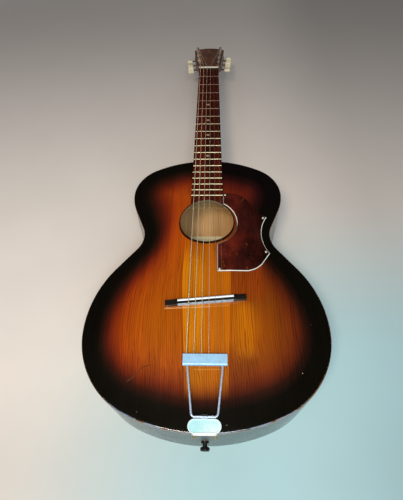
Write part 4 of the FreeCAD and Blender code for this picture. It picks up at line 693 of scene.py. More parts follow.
@dataclass(frozen=True)
class Wood(Finish):
    """Wood with growth lines, bands and pores, bare, oiled or lacquered.

    Args:
        light, dark: Its two tones.
        spacing: Distance between growth lines.
        lines, pores: Strength of both.
        turn: Turn of the grain away from +Y, in degrees.
        rough: Roughness of the wood.
        coat, coat_rough: Lacquer on it.
        inner: Bare tone inside the body, or None.
        inner_from: Height above which it shows, or 0 where the piece keeps its inside itself.
    """

    light: Colour
    dark: Colour
    spacing: float
    lines: float
    pores: float
    turn: float
    rough: float
    coat: float = 0.0
    coat_rough: float = 0.1
    inner: Colour | None = None
    inner_from: float = 0.0

    def draw(self, sheet: NodeSheet, shader: bpy.types.Node) -> None:
        """Grain between the two tones, pores, uneven gloss and a fine relief."""
        place = sheet.place()
        turned = sheet.scaled(place, (1.0, 1.0, 1.0), math.radians(self.turn))
        grain = sheet.effect(EFFECTS.grain, Place=turned, Spacing=self.spacing * MM, Wave=0.02)
        bands = sheet.band(grain["Bands"], 0.3, 0.7)
        colour = sheet.mix(bands, self.light, self.dark)
        colour = sheet.mix(grain["Lines"] * self.lines, colour, self.dark)
        colour = sheet.mix(grain["Pores"] * self.pores, colour, dimmed(self.dark, 0.35))
        weight: object = self.coat
        if self.inner is not None:
            within = sheet.kept("inside")
            if self.inner_from > 0.0:
                within = sheet.band(sheet.axes(place)[2], (self.inner_from - 0.2) * MM, self.inner_from * MM)
            bare = sheet.mix(bands, self.inner, dimmed(self.inner, 0.72))
            colour = sheet.mix(within, colour, sheet.mix(grain["Lines"] * 0.3, bare, self.dark))
            weight = self.coat - within * self.coat
        relief = grain["Pores"] * -0.8 + grain["Lines"] * 0.3
        sheet.fill(shader, {
            "Base Color": self.local(sheet, place, colour), "Normal": sheet.bump(relief, 0.0002, 0.4),
            "Roughness": self.gloss(sheet, place, 22.0, self.rough - 0.07, self.rough + 0.08)})
        self.lacquer(sheet, shader, weight, self.coat_rough)


@dataclass(frozen=True)
class BoardWood(Wood):
    """Fretboard wood with a pale end round the soundhole, partly lighter end grain and partly painted light.

    Args:
        end_reach: Distance of that end from the soundhole's centre.
        hole_y: Place of the soundhole's centre.
        dark_from, dark_to: Places along Y between which it gets darker towards the nut.
    """

    end_reach: float = 39.5
    hole_y: float = 89.0
    dark_from: float = 240.0
    dark_to: float = 480.0

    def local(self, sheet: NodeSheet, place: Value, colour: Value) -> Value:
        """Pale end grain within the reach, partly painted light, and darker towards the nut."""
        dark = sheet.band(sheet.axes(place)[1], self.dark_from * MM, self.dark_to * MM, 0.0, 0.4)
        colour = sheet.mix(dark, colour, tint(40, 16, 18))
        # Pale end face round the soundhole: lighter end grain, made paler still as painted light
        hole = (0.0, self.hole_y * MM, 0.0)
        away = sheet.vector_math("DISTANCE", sheet.scaled(place, FLAT), hole, "Value")
        end = sheet.band(away, self.end_reach * MM, (self.end_reach + 0.3) * MM, 0.75, 0.0)
        return sheet.mix(end, colour, tint(136, 126, 100))


@dataclass(frozen=True)
class BridgeWood(Wood):
    """Black bridge wood with a pale painted reflection on its front below the saddle.

    Args:
        front, half: Place of its front across it, and half the length of the painted reflection.
    """

    front: float = -3.95
    half: float = 39.5

    def local(self, sheet: NodeSheet, place: Value, colour: Value) -> Value:
        """Cloudy pale painted reflection on the front face."""
        x, y, _ = sheet.axes(place)
        turn = math.radians(BRIDGE_SLANT)
        across = (y - BRIDGE_Y * MM) * math.cos(turn) - x * math.sin(turn)
        # Pale painted reflection of the light on the front face, in cloudy patches
        face = sheet.band(across, self.front * MM, (self.front + 0.2) * MM, 1.0, 0.0)
        painted_reflection = face * sheet.between(x, -self.half * MM, self.half * MM, 0.0015)
        cloud = sheet.band(sheet.noise(place, 160.0, 4.0, 0.7), 0.3, 0.6, 0.45, 0.95)
        return sheet.mix(painted_reflection * cloud, colour, tint(186, 220, 242))


@dataclass(frozen=True)
class Metal(Finish):
    """Metal with uneven polish, tarnish in patches and fine scratches.

    Args:
        tone, dull: Its clean and tarnished tones.
        rough: Middle roughness.
        share: Share of metal reflection, less where the plating is dull and satin.
        tarnish: How far the tarnish goes.
        scratch: Strength of the scratches.
    """

    tone: Colour
    dull: Colour
    rough: float
    share: float
    tarnish: float
    scratch: float = 0.35

    def draw(self, sheet: NodeSheet, shader: bpy.types.Node) -> None:
        """Tarnish, polish and scratches."""
        place = sheet.place()
        patches = sheet.band(sheet.noise(place, 130.0, 5.0, 0.65), 0.48, 0.78, 0.0, self.tarnish)
        scratches = sheet.streaks(place, 2600.0, 160.0, turn=0.5)
        sheet.fill(shader, {
            "Base Color": self.local(sheet, place, sheet.mix(patches, self.tone, self.dull)),
            "Roughness": self.gloss(sheet, place, 160.0, self.rough - 0.06, self.rough + 0.1),
            "Normal": sheet.bump(scratches, 0.00004, self.scratch), "Metallic": self.share})


@dataclass(frozen=True)
class FretMetal(Metal):
    """Fret wire, bright near the body and darkened towards the nut by painted shade.

    Args:
        nut_shade_from, nut_shade_to: Places along Y between which the painted shade grows.
    """

    nut_shade_from: float = 230.0
    nut_shade_to: float = 420.0

    def local(self, sheet: NodeSheet, place: Value, colour: Value) -> Value:
        """Dark tone towards the nut, which is painted shade."""
        # Painted shade, growing towards the nut
        nut_painted_light = sheet.band(sheet.axes(place)[1], self.nut_shade_from * MM, self.nut_shade_to * MM, 0.0, 0.92)
        return sheet.mix(nut_painted_light, colour, tint(98, 62, 48))


@dataclass(frozen=True)
class BracketMetal(Metal):
    """Tail bracket: a bright plate with painted highlights on its rim, middle and fold, and painted shade on
    the tab below it and on the hook.

    Args:
        fold: Height of the fold's lower end.
        lip_y, lip_half: Place along Y in front of which the fold has a painted highlight, and half the length
            of that.
        rim: Height of the painted highlight round the plate's rim.
        hook_y: Place along Y beyond which the hook stands, painted dark as shade.
    """

    fold: float = 107.0
    lip_y: float = -234.6
    lip_half: float = 14.5
    rim: float = 109.7
    hook_y: float = -217.6

    def local(self, sheet: NodeSheet, place: Value, colour: Value) -> Value:
        """Painted highlights on the rim, the fold's lip and the plate's middle; painted shade on the tab, the
        fold's ends and the hook.
        """
        x, y, z = sheet.axes(place)
        # The hook is painted dark as shade, and the rim's painted highlight stops short of it
        hook = sheet.band(y, (self.hook_y - 0.2) * MM, (self.hook_y + 0.2) * MM)
        rim = sheet.band(z, (self.rim - 0.1) * MM, (self.rim + 0.1) * MM, 0.0, 0.55)
        rim = sheet.math("SUBTRACT", rim, hook, clamp=True)
        # Painted highlights on the fold's lip and on the plate's middle towards the tail
        fold = sheet.band(y, (self.lip_y - 0.5) * MM, (self.lip_y + 0.5) * MM, 1.0, 0.0)
        polished = fold * sheet.between(x, -self.lip_half * MM, self.lip_half * MM, 0.003)
        wear_and_glint = sheet.band(x, -0.012, 0.012) * sheet.band(y, -0.222, -0.232, 0.2, 0.6)
        colour = sheet.mix(rim | wear_and_glint | polished, colour, tint(250, 252, 255))
        # Painted shade on the fold's ends and on the tab below the fold
        ends = sheet.math("SUBTRACT", fold - polished, rim, clamp=True)
        painted_shade_tab = sheet.band(z, (self.fold - 0.6) * MM, self.fold * MM, 1.0, 0.0)
        colour = sheet.mix((painted_shade_tab | ends) * 0.92, colour, tint(92, 90, 86))
        return sheet.mix(hook * 0.95, colour, tint(22, 21, 22))


@dataclass(frozen=True)
class Tortoise(Finish):
    """Dark red-brown celluloid with amber and black clouds, polished and scratched, over a pale layer, with
    painted light across it.

    Args:
        bevel: Width of the bevel that lays the pale layer open.
        painted_falloff: Distance from the middle over which the painted light falls off into painted shade
            towards the treble edge.
    """

    bevel: float = 1.1
    painted_falloff: float = 100.0

    def local(self, sheet: NodeSheet, place: Value, colour: Value) -> Value:
        """Pale layer in the bevel, partly a painted highlight: hidden at the upper horn and the crown, dim at
        the soundhole and along the left edge.
        """
        x, y, _ = sheet.axes(place)
        bevel = sheet.between(sheet.kept("inset"), -0.0002, self.bevel * MM, 0.0001)
        # Where the pale bevel shows its painted highlight: not at the upper horn or the crown, dim at the
        # soundhole and on the left edge
        horn = sheet.band(y, 0.0995, 0.103) * sheet.band(x, 0.046, 0.052)
        crown = sheet.band(y, 0.141, 0.146)
        hole = sheet.between(y, 0.046, 0.082, 0.006) * sheet.between(x, 0.019, 0.054, 0.002)
        bevel = bevel * (1.0 - (horn | crown | hole * 0.88)) * sheet.band(x, 0.0178, 0.0190, 0.55, 1.0)
        return sheet.mix(bevel, colour, tint(226, 224, 214))

    def draw(self, sheet: NodeSheet, shader: bpy.types.Node) -> None:
        """Clouds at two sizes, amber flecks and hairlines of wear, with painted light towards the soundhole
        and painted shade towards the treble edge.
        """
        place = sheet.place()
        stretched = sheet.scaled(place, (1.0, 0.62, 1.0), 0.5)
        colour = sheet.ramp(sheet.noise(stretched, 34.0, 4.0, 0.6), stops(
            (0.30, 26, 10, 8), (0.45, 52, 16, 12), (0.57, 72, 22, 15), (0.72, 90, 30, 18)))
        flecks = sheet.band(sheet.noise(stretched, 105.0, 5.0, 0.7), 0.60, 0.75, 0.0, 0.8)
        colour = sheet.mix(flecks, colour, tint(148, 80, 26))
        sparks = sheet.band(sheet.noise(place, 260.0, 3.0, 0.6), 0.68, 0.78, 0.0, 0.35)
        colour = sheet.mix(sparks, colour, tint(160, 96, 40))
        # Painted light: brighter towards the soundhole, painted shade towards the treble edge
        painted_lighting = sheet.ramp(sheet.axes(place)[0] / (self.painted_falloff * MM), [
            (0.2, (2.1, 1.7, 1.25, 1.0)), (0.5, (1.15, 1.0, 0.85, 1.0)), (0.9, (0.34, 0.42, 0.4, 1.0))])
        hairlines = sheet.streaks(place, 900.0, 60.0, turn=1.1)
        sheet.fill(shader, {
            "Base Color": self.local(sheet, place, sheet.times(colour, painted_lighting)), "Specular IOR Level": 0.5,
            "Roughness": self.gloss(sheet, place, 60.0, 0.12, 0.3),
            "Normal": sheet.bump(hairlines, 0.00005, 0.3)})


@dataclass(frozen=True)
class Smooth(Finish):
    """Bone, ivory-coloured plastic or black plastic: cloudy tone, handled gloss and a little grime.

    Args:
        tone, grime: Clean and grimy tones.
        rough: Middle roughness.
        soft: Weight of light that goes in and comes out again.
    """

    tone: Colour
    grime: Colour
    rough: float
    soft: float = 0.0

    def draw(self, sheet: NodeSheet, shader: bpy.types.Node) -> None:
        """Clouds, grime specks and uneven gloss."""
        place = sheet.place()
        clouds = sheet.band(sheet.noise(place, 110.0, 4.0, 0.6), 0.42, 0.8, 0.0, 0.55)
        specks = sheet.band(sheet.noise(place, 900.0, 3.0, 0.6), 0.64, 0.78, 0.0, 0.4)
        sheet.fill(shader, {
            "Base Color": sheet.mix(specks, sheet.mix(clouds, self.tone, self.grime), self.grime),
            "Roughness": self.gloss(sheet, place, 240.0, self.rough - 0.08, self.rough + 0.12),
            "Normal": sheet.bump(sheet.noise(place, 500.0, 3.0), 0.00005, 0.3),
            "Subsurface Weight": self.soft, "Subsurface Radius": (0.002, 0.0014, 0.0008)})


@dataclass(frozen=True)
class StringMetal(Finish):
    """String metal, whose wrap shows as close ridges along its run.

    Args:
        tone, dull, aged: Clean and dull tones, and the tone towards the nut: a painted glint on wound strings
            and painted shade on plain ones.
        wrap: Width of the wrap wire, or 0 for a plain string.
    """

    tone: Colour
    dull: Colour
    nut_painted_light: Colour
    wrap: float

    def draw(self, sheet: NodeSheet, shader: bpy.types.Node) -> None:
        """Ridges by the distance along the string and the turn round it, dull patches between."""
        place = sheet.place()
        patches = sheet.band(sheet.noise(place, 60.0, 4.0, 0.6), 0.4, 0.75, 0.0, 0.7)
        colour = sheet.mix(patches, self.tone, self.dull)
        # Towards the nut: a painted glint on wound strings, painted shade on plain ones
        colour = sheet.mix(sheet.band(sheet.axes(place)[1], 0.16, 0.46, 0.0, 0.6), colour, self.nut_painted_light)
        if self.wrap > 0.0:
            turns = sheet.kept("run") / (self.wrap * MM) + sheet.kept("turn")
            ridge = sheet.math("SINE", turns * TURN)
            colour = sheet.mix(sheet.band(ridge, -1.0, -0.3, 0.25, 0.0), colour, tint(96, 72, 46))
            sheet.fill(shader, {"Normal": sheet.bump(ridge, self.wrap * MM * 0.2, 0.7)})
        gloss = self.gloss(sheet, place, 300.0, 0.26, 0.44)
        sheet.fill(shader, {"Base Color": colour, "Roughness": gloss, "Metallic": 0.35})


@dataclass(frozen=True)
class PaleFloor(Finish):
    """Plain pale floor with painted light: warm, with a cool pool of painted light round the tail and painted
    shade that dims it at the head, running into the backdrop far off.

    Args:
        pool: Middle of the cool pool of painted light in metres, which reaches further away from the guitar
            than towards it.
        middle: Place in metres that the run into the backdrop is measured from.
        run_from: Distance from there in metres at which it starts.
        outward: Share that a distance on the far side of the pool's middle counts for.
    """

    pool: Spot = (0.22, -0.3)
    middle: Place = (0.0, 0.3, 0.0)
    run_from: float = 0.95
    outward: float = 0.3

    def draw(self, sheet: NodeSheet, shader: bpy.types.Node) -> None:
        """A cool pool of painted light in a warm tone, both dimmed by painted shade that depends on their
        place, with a faint unevenness.
        """
        place = sheet.place()
        x, y, _ = sheet.axes(place)
        off_x, off_y = (
            sheet.math("MAXIMUM", off, 0.0) * self.outward + sheet.math("MINIMUM", off, 0.0)
            for off in (x - self.pool[0], self.pool[1] - y))
        away = sheet.math("SQRT", off_x * off_x + off_y * off_y)
        # Cool pool of painted light round the tail, in the warm tone
        colour = sheet.mix(sheet.band(away, 0.18, 0.56, 1.0, 0.0), tint(236, 226, 219), tint(190, 225, 232))
        # Painted shade: dimmer towards the head, on the treble side and beyond the tail
        painted_falloff = sheet.band(y, 0.0, 1.1, 1.0, 0.5) * sheet.band(x, 0.08, 0.36, 1.0, 0.72)
        painted_falloff = painted_falloff * sheet.band(y, -0.3, -0.1, 0.82, 1.0)
        reach = sheet.vector_math("DISTANCE", place, self.middle, "Value")
        painted_falloff = painted_falloff + sheet.band(reach, self.run_from, 2.0) * (0.9 - painted_falloff)
        uneven = sheet.band(sheet.noise(place, 7.0, 4.0), 0.3, 0.7, 0.0, 0.06)
        colour = sheet.mix(uneven, sheet.mix(painted_falloff, BLACK, colour), tint(150, 146, 142))
        backdrop = sheet.band(reach, self.run_from, 3.4)
        seen = sheet.value("ShaderNodeLightPath", {}, "Is Camera Ray") * BACKDROP_SEEN
        sheet.fill(shader, {
            "Base Color": sheet.mix(backdrop, colour, BLACK), "Emission Strength": backdrop * seen,
            "Emission Color": BACKDROP, "Roughness": 0.9, "Specular IOR Level": 0.1})


# What each piece is finished in
SUNBURST = SunburstTop("sunburst_top")
SIDE = Wood("dark_lacquered_sides", tint(25, 15, 11), tint(14, 9, 7), spacing=2.4, lines=0.3, pores=0.2,
            turn=90.0, rough=0.4, coat=0.6, coat_rough=0.06, inner=tint(240, 204, 150))
BACK = Wood("dark_lacquered_back", tint(58, 26, 14), tint(34, 15, 9), spacing=3.0, lines=0.4, pores=0.4,
            turn=0.0, rough=0.4, coat=1.0, coat_rough=0.08, inner=tint(250, 201, 142), inner_from=3.0)
# Braces of the same spruce as the bare inner wood, made paler as painted light where light through the
# soundhole falls on them
LIT_BRACE_WOOD = Wood("lit_brace_wood", tint(252, 246, 212), tint(240, 226, 178), spacing=1.8, lines=0.2,
                  pores=0.1, turn=90.0, rough=0.65)
BARE_WOOD = Wood("bare_inner_wood", tint(232, 212, 164), tint(200, 170, 118), spacing=1.8, lines=0.3,
                 pores=0.2, turn=90.0, rough=0.65)
NECK_WOOD = Wood("stained_neck_wood", tint(118, 74, 54), tint(80, 48, 35), spacing=3.4, lines=0.35, pores=0.5,
                 turn=0.0, rough=0.42, coat=0.5, coat_rough=0.16)
BOARD_WOOD = BoardWood("red_brown_board", tint(92, 25, 9), tint(48, 13, 6), spacing=1.7, lines=0.5, pores=0.7,
                       turn=0.0, rough=0.5, coat=0.05, coat_rough=0.3)
BLACK_WOOD = BridgeWood("black_bridge_wood", tint(36, 32, 28), tint(16, 14, 12), spacing=1.5, lines=0.4,
                        pores=0.5, turn=90.0, rough=0.4, coat=0.7, coat_rough=0.16)
SADDLE = Metal("pale_saddle", tint(232, 238, 242), tint(190, 198, 204), rough=0.34, share=0.15, tarnish=0.35)
FRET_METAL = FretMetal("fret_metal", tint(216, 208, 172), tint(190, 172, 140), rough=0.34, share=0.6,
                       tarnish=0.3, scratch=0.05)
# The pale blue of the nickel, the bracket and the wire is painted reflection of cool light
NICKEL = Metal("satin_nickel", tint(156, 202, 238), tint(128, 164, 196), rough=0.42, share=0.35, tarnish=0.3,
               scratch=0.15)
BRACKET = BracketMetal("bracket_nickel", tint(186, 240, 248), tint(156, 200, 212), rough=0.4, share=0.25,
                       tarnish=0.3, scratch=0.15)
WIRE = Metal("polished_wire", tint(190, 206, 232), tint(136, 144, 166), rough=0.3, share=0.45, tarnish=0.15,
             scratch=0.05)
PALE_SCREW = Metal("pale_screws", tint(222, 216, 198), tint(168, 156, 130), rough=0.34, share=0.5,
                   tarnish=0.4)
STEEL = Metal("tuner_steel", tint(176, 170, 160), tint(92, 84, 74), rough=0.34, share=0.85, tarnish=0.6)
BRASS = Metal("tarnished_brass", tint(196, 162, 98), tint(112, 84, 48), rough=0.36, share=0.9, tarnish=0.6)
DARK_STEEL = Metal("dark_shafts", tint(58, 60, 66), tint(34, 32, 32), rough=0.34, share=0.85, tarnish=0.5)
BONE = Smooth("bone_nut", tint(244, 244, 226), tint(196, 180, 146), rough=0.34, soft=0.15)
IVORY = Smooth("ivory_buttons", tint(226, 216, 186), tint(186, 166, 124), rough=0.24, soft=0.2)
INLAY = Smooth("cream_dots", tint(172, 142, 104), tint(124, 94, 66), rough=0.32, soft=0.1)
BLACK_GLOSS = Smooth("black_end_pin", tint(14, 13, 13), tint(34, 30, 28), rough=0.16)
TORTOISE = Tortoise("tortoise_guard")
FLOOR = PaleFloor("pale_floor")
# The last tone of each is the tone towards the nut: a painted glint on wound strings, painted shade on plain
# ones
PLAIN_TONES = (tint(168, 142, 106), tint(120, 94, 66), tint(74, 44, 36))
WOUND_TONES = (tint(236, 216, 180), tint(204, 176, 136), tint(236, 178, 146))


def fit_out(piece: bpy.types.Object, finish: Finish, body: str, slot: str, *nodes: str) -> None:
    """Finishes a new piece and has it ride on a body in place of some solids.

    Args:
        piece: The piece.
        finish: Its finish.
        body: Body it moves with.
        slot: Material slot of the record; not used.
        nodes: Solids that it stands for.
    """
    piece.data.materials.append(finish.material())
    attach(piece, body)
    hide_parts(*nodes)
    LOG.info("piece %s: %s", piece.name, finish.name)


# Pieces that keep their solids
@dataclass
class SubAssembly:
    """Solids that belong together; they are given finishes and keep their shape.

    Args:
        finishes: Finish of each solid.
    """

    finishes: dict[str, Finish]

    def build(self) -> None:
        """Gives the solids their finishes."""
        for node, finish in self.finishes.items():
            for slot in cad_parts[node].material_slots:
                slot.material = finish.material()
            LOG.info("solid %s: %s", node, finish.name)


BARE_NODES = ("neck_block", "tail_block", "top_linings", "back_linings", "top_cross_braces", "tone_bars")
PLATE_NODES = ("tuner_plate_bass", "tuner_plate_treble", "tuner_plate_screws", "post_bushings")
TUNER_FINISHES = {"string_post": STEEL, "tuner_gear": BRASS, "tuner_worm": DARK_STEEL, "tuner_button": IVORY}
TUNER_COUNT = 6
BODY = SubAssembly({"back_plate": BACK, **dict.fromkeys(BARE_NODES, BARE_WOOD), "back_braces": LIT_BRACE_WOOD})
NECK = SubAssembly({"neck": NECK_WOOD, "neck_bar": STEEL, "fretboard": BOARD_WOOD, "frets": FRET_METAL,
                    "position_dots": INLAY, "nut": BONE})
BRIDGE = SubAssembly({"bridge_base": BLACK_WOOD, "bridge_saddle": SADDLE})
GUARD_SCREWS = SubAssembly({"pickguard_screws": PALE_SCREW})
TAILPIECE = SubAssembly({"tailpiece_bracket": BRACKET, "tailpiece_wire": WIRE, "string_bar": NICKEL,
                         "bracket_screws": BRASS, "end_pin": BLACK_GLOSS})
PLATES = SubAssembly(dict.fromkeys(PLATE_NODES, STEEL))
TUNERS = [SubAssembly({f"{part}_{number}": finish for part, finish in TUNER_FINISHES.items()})
          for number in range(1, TUNER_COUNT + 1)]


# Body
@dataclass
class BodyOutline:
    """Outline of the body: arcs from tail to neck with straight runs at the waist, and the arch over it.

    Args:
        length, lower, waist, upper: Length and the three widths.
        lower_at, waist_at, upper_at: Places of the widths from the tail, as shares of the length.
        depth: Height of the rim.
        rise, margin, run: Height of the arch, flat margin inside the rim, and width of its slope.
        peak, tail_span, neck_span: Place of its peak and its reach both ways, as shares of the length.
        shares: Radii of the six arcs along a side, from tail to neck, as shares of the room that they have.
        arc_points, run_points: Points of an arc and of a straight run.
    """

    length: float = 472.0
    lower: float = 349.6
    waist: float = 206.6
    upper: float = 259.0
    lower_at: float = 0.286
    waist_at: float = 0.6335
    upper_at: float = 0.822
    depth: float = 108.0
    rise: float = 12.5
    margin: float = 6.0
    run: float = 95.0
    peak: float = 0.3665
    tail_span: float = 0.4025
    neck_span: float = 0.699
    shares: tuple[float, ...] = (0.926, 0.73, 0.20, 0.25, 0.556, 0.81)
    arc_points: int = 90
    run_points: int = 30
    line: np.ndarray = field(init=False)

    def __post_init__(self) -> None:
        """Works out the outline's points."""
        half = self.half_line()
        self.line = np.vstack([half, half[::-1][1:-1] * (-1.0, 1.0)])

    def half_line(self) -> np.ndarray:
        """Points of the treble half, from the tail to the neck.

        Each end is a wide arc and a corner arc that touch; bout and waist arcs touch a straight run between.

        Returns:
            Points in millimetres, two to a row.
        """
        low, waist, high = self.lower / 2, self.waist / 2, self.upper / 2
        tail, neck = -self.length / 2, self.length / 2
        places = (self.lower_at, self.waist_at, self.upper_at)
        low_y, waist_y, high_y = (tail + place * self.length for place in places)
        corner = self.shares[0] * (low_y - tail)
        tail_arc = self.end_radius(low - corner, low_y - tail, corner)
        tail_turn = math.atan2(low_y - tail - tail_arc, low - corner)
        low_sum = self.radius_sum(low - waist, waist_y - low_y)
        low_side, waist_low = self.shares[1] * low_sum, self.shares[2] * low_sum
        low_turn = self.run_turn(low - waist, waist_y - low_y, low_side + waist_low)
        high_sum = self.radius_sum(high - waist, high_y - waist_y)
        waist_high, high_side = self.shares[3] * high_sum, self.shares[4] * high_sum
        high_turn = self.run_turn(high - waist, high_y - waist_y, high_side + waist_high)
        shoulder = self.shares[5] * (neck - high_y)
        neck_arc = self.end_radius(high - shoulder, neck - high_y, shoulder)
        neck_turn = math.atan2(high_y - neck + neck_arc, high - shoulder)
        arcs = [
            ((0.0, tail + tail_arc), tail_arc, -math.pi / 2, tail_turn),
            ((low - corner, low_y), corner, tail_turn, 0.0),
            ((low - low_side, low_y), low_side, 0.0, low_turn),
            ((waist + waist_low, waist_y), waist_low, math.pi + low_turn, math.pi),
            ((waist + waist_high, waist_y), waist_high, math.pi, math.pi - high_turn),
            ((high - high_side, high_y), high_side, -high_turn, 0.0),
            ((high - shoulder, high_y), shoulder, 0.0, neck_turn),
            ((0.0, neck - neck_arc), neck_arc, neck_turn, math.pi / 2),
        ]
        share = np.linspace(0, 1, self.arc_points)
        runs = [self.on_circle(centre, radius, start + (end - start) * share)
                for centre, radius, start, end in arcs]
        # Straight runs between bouts and waist, the upper one first, so that the lower one's place holds
        for place in (5, 3):
            runs.insert(place, np.linspace(runs[place - 1][-1], runs[place][0], self.run_points)[1:-1])
        return np.vstack(runs)

    @staticmethod
    def end_radius(inset: float, reach: float, corner: float) -> float:
        """Radius of the arc across an end that a corner arc runs into."""
        return (inset ** 2 + reach ** 2 - corner ** 2) / (2 * (reach - corner))

    @staticmethod
    def radius_sum(step: float, rise: float) -> float:
        """Sum of the radii of two touching arcs that join two widths."""
        return (step ** 2 + rise ** 2) / (2 * step)

    @staticmethod
    def run_turn(step: float, rise: float, radii: float) -> float:
        """Angle that both arcs turn before their straight run."""
        across = radii - step
        return math.atan2(rise, across) - math.acos(radii / math.hypot(across, rise))

    @staticmethod
    def on_circle(centre: Spot, radius: float, angles: np.ndarray) -> np.ndarray:
        """Points on a circle at some angles."""
        return np.stack([centre[0] + radius * np.cos(angles), centre[1] + radius * np.sin(angles)], axis=1)

    def reach(self, centre_y: float, angles: np.ndarray) -> np.ndarray:
        """Distance from a point on the centre line to the outline at some angles from -pi to pi."""
        away = self.line - (0.0, centre_y)
        turn = np.arctan2(away[:, 1], away[:, 0])
        order = np.argsort(turn)
        return np.interp(angles, turn[order], np.hypot(*away.T)[order], period=TURN)

    def arch(self, y: np.ndarray, edge: np.ndarray) -> np.ndarray:
        """Height of the arch over the rim: a smooth step in from the edge times a squared cosine along Y."""
        along = y + self.length * (0.5 - self.peak)
        span = self.length * np.where(along > 0, self.neck_span, self.tail_span)
        slope = smooth_step((edge - self.margin) / self.run)
        return self.rise * slope * np.cos(np.pi / 2 * along / span) ** 2


@dataclass
class Soundbox:
    """Smooth arched top and bent sides in place of their solids.

    Args:
        outline: Outline and arch.
        hole_width, hole_from_neck: Soundhole and its distance from the neck end.
        wall, side_wall: Thickness of the top and of the sides.
        rim_round, hole_round: Rounding of the rim and of the soundhole's edge.
        angles, steps, under_steps: Points round the top, across it and underneath.
        round_steps: Points of a rounding.
        levels: Points up a side.
    """

    outline: BodyOutline
    hole_width: float = 88.6
    hole_from_neck: float = 147.0
    wall: float = 4.0
    side_wall: float = 2.2
    rim_round: float = 2.0
    hole_round: float = 0.8
    angles: int = 560
    steps: int = 84
    under_steps: int = 22
    round_steps: int = 6
    levels: int = 7

    def hole_y(self) -> float:
        """Place of the soundhole along the body."""
        return self.outline.length / 2 - self.hole_from_neck

    def top(self) -> bpy.types.Object:
        """Arched top as one closed surface round the soundhole.

        Rows are rays from the soundhole's centre and columns go round the plate's section: across the top
        from the hole to the rim, where quarter circles round both edges, and back underneath. A point's
        height is the rim's height plus the arch, less the drop of the rounding or the wall.

        Returns:
            The new piece.
        """
        turn = np.linspace(-np.pi, np.pi, self.angles, endpoint=False)[:, None]
        outer = self.outline.reach(self.hole_y(), turn)
        inner = np.full_like(outer, self.hole_width / 2)
        quarter = np.linspace(0, np.pi / 2, self.round_steps)
        low_in, low_out = inner + self.hole_round, outer - self.rim_round
        radius = np.concatenate([
            inner + self.hole_round * (1 - np.cos(quarter[:-1])),
            low_in + (low_out - low_in) * np.linspace(0, 1, self.steps),
            outer - self.rim_round * (1 - np.sin(quarter[1:])),
            outer + (inner - outer) * np.linspace(0, 1, self.under_steps)], axis=1)
        drop = np.concatenate([
            self.hole_round * (1 - np.sin(quarter[:-1])), np.zeros(self.steps),
            self.rim_round * (1 - np.cos(quarter[1:])), np.full(self.under_steps, self.wall)])
        flat = np.stack([radius * np.cos(turn), self.hole_y() + radius * np.sin(turn)], axis=-1)
        edge = least_distance(flat, self.outline.line)
        points = raised(flat, self.outline.depth + self.outline.arch(flat[..., 1], edge) - drop) * MM
        rows, columns = radius.shape
        faces = grid_faces(rows, columns, round_rows=True, round_columns=True)
        piece = make_piece("arched_top", points, faces, sharp_degrees=50.0)
        store_values(piece, "edge", edge * MM)
        store_values(piece, "hole", (radius - self.hole_width / 2) * MM)
        store_values(piece, "under", np.tile(drop >= self.wall, (rows, 1)))
        return piece

    def side(self, name: str, node: str, hand: int) -> bpy.types.Object:
        """Bent side as a closed band: the outline's half carried up, and the same line moved in by the wall.

        Rows follow the outline from the tail to the neck and columns go up its outside and down its inside;
        the inner line is the outer one less the wall times the outline's normal.

        Args:
            name: Name of the piece.
            node: Solid that it stands for.
            hand: 1 on the treble side, -1 on the bass side.

        Returns:
            The new piece.
        """
        line = self.outline.half_line()
        line = line[np.concatenate([[True], np.diff(run_length(line)) > TINY])]
        along = unit(np.gradient(line, axis=0))
        inner = line + self.side_wall * np.stack([-along[:, 1], along[:, 0]], axis=1)
        inner[[0, -1], 0] = 0.0
        low, high = (corner[2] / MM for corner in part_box(node))
        up = np.linspace(low, high, self.levels)
        rows, columns = len(line), 2 * self.levels
        section = np.repeat(np.stack([line, inner], axis=1), self.levels, axis=1)
        points = raised(section * (hand, 1), np.tile(np.concatenate([up, up[::-1]]), (rows, 1))) * MM
        rung = np.arange(self.levels - 1)
        ladder = np.stack([rung, rung + 1, columns - 2 - rung, columns - 1 - rung], axis=1)
        faces = np.concatenate([grid_faces(rows, columns, round_columns=True), ladder,
                                ladder[:, ::-1] + columns * (rows - 1)])
        piece = make_piece(name, points, faces if hand > 0 else faces[:, ::-1])
        store_values(piece, "inside", np.tile(np.arange(columns) >= self.levels, (rows, 1)))
        return piece

    def build(self) -> None:
        """Makes the top and the two sides."""
        fit_out(self.top(), SUNBURST, "guitar", "sunburst_spruce", "top_plate")
        for node, hand in (("bass_side", -1), ("treble_side", 1)):
            fit_out(self.side(f"bent_{node}", node, hand), SIDE, "guitar", "side_wood", node)


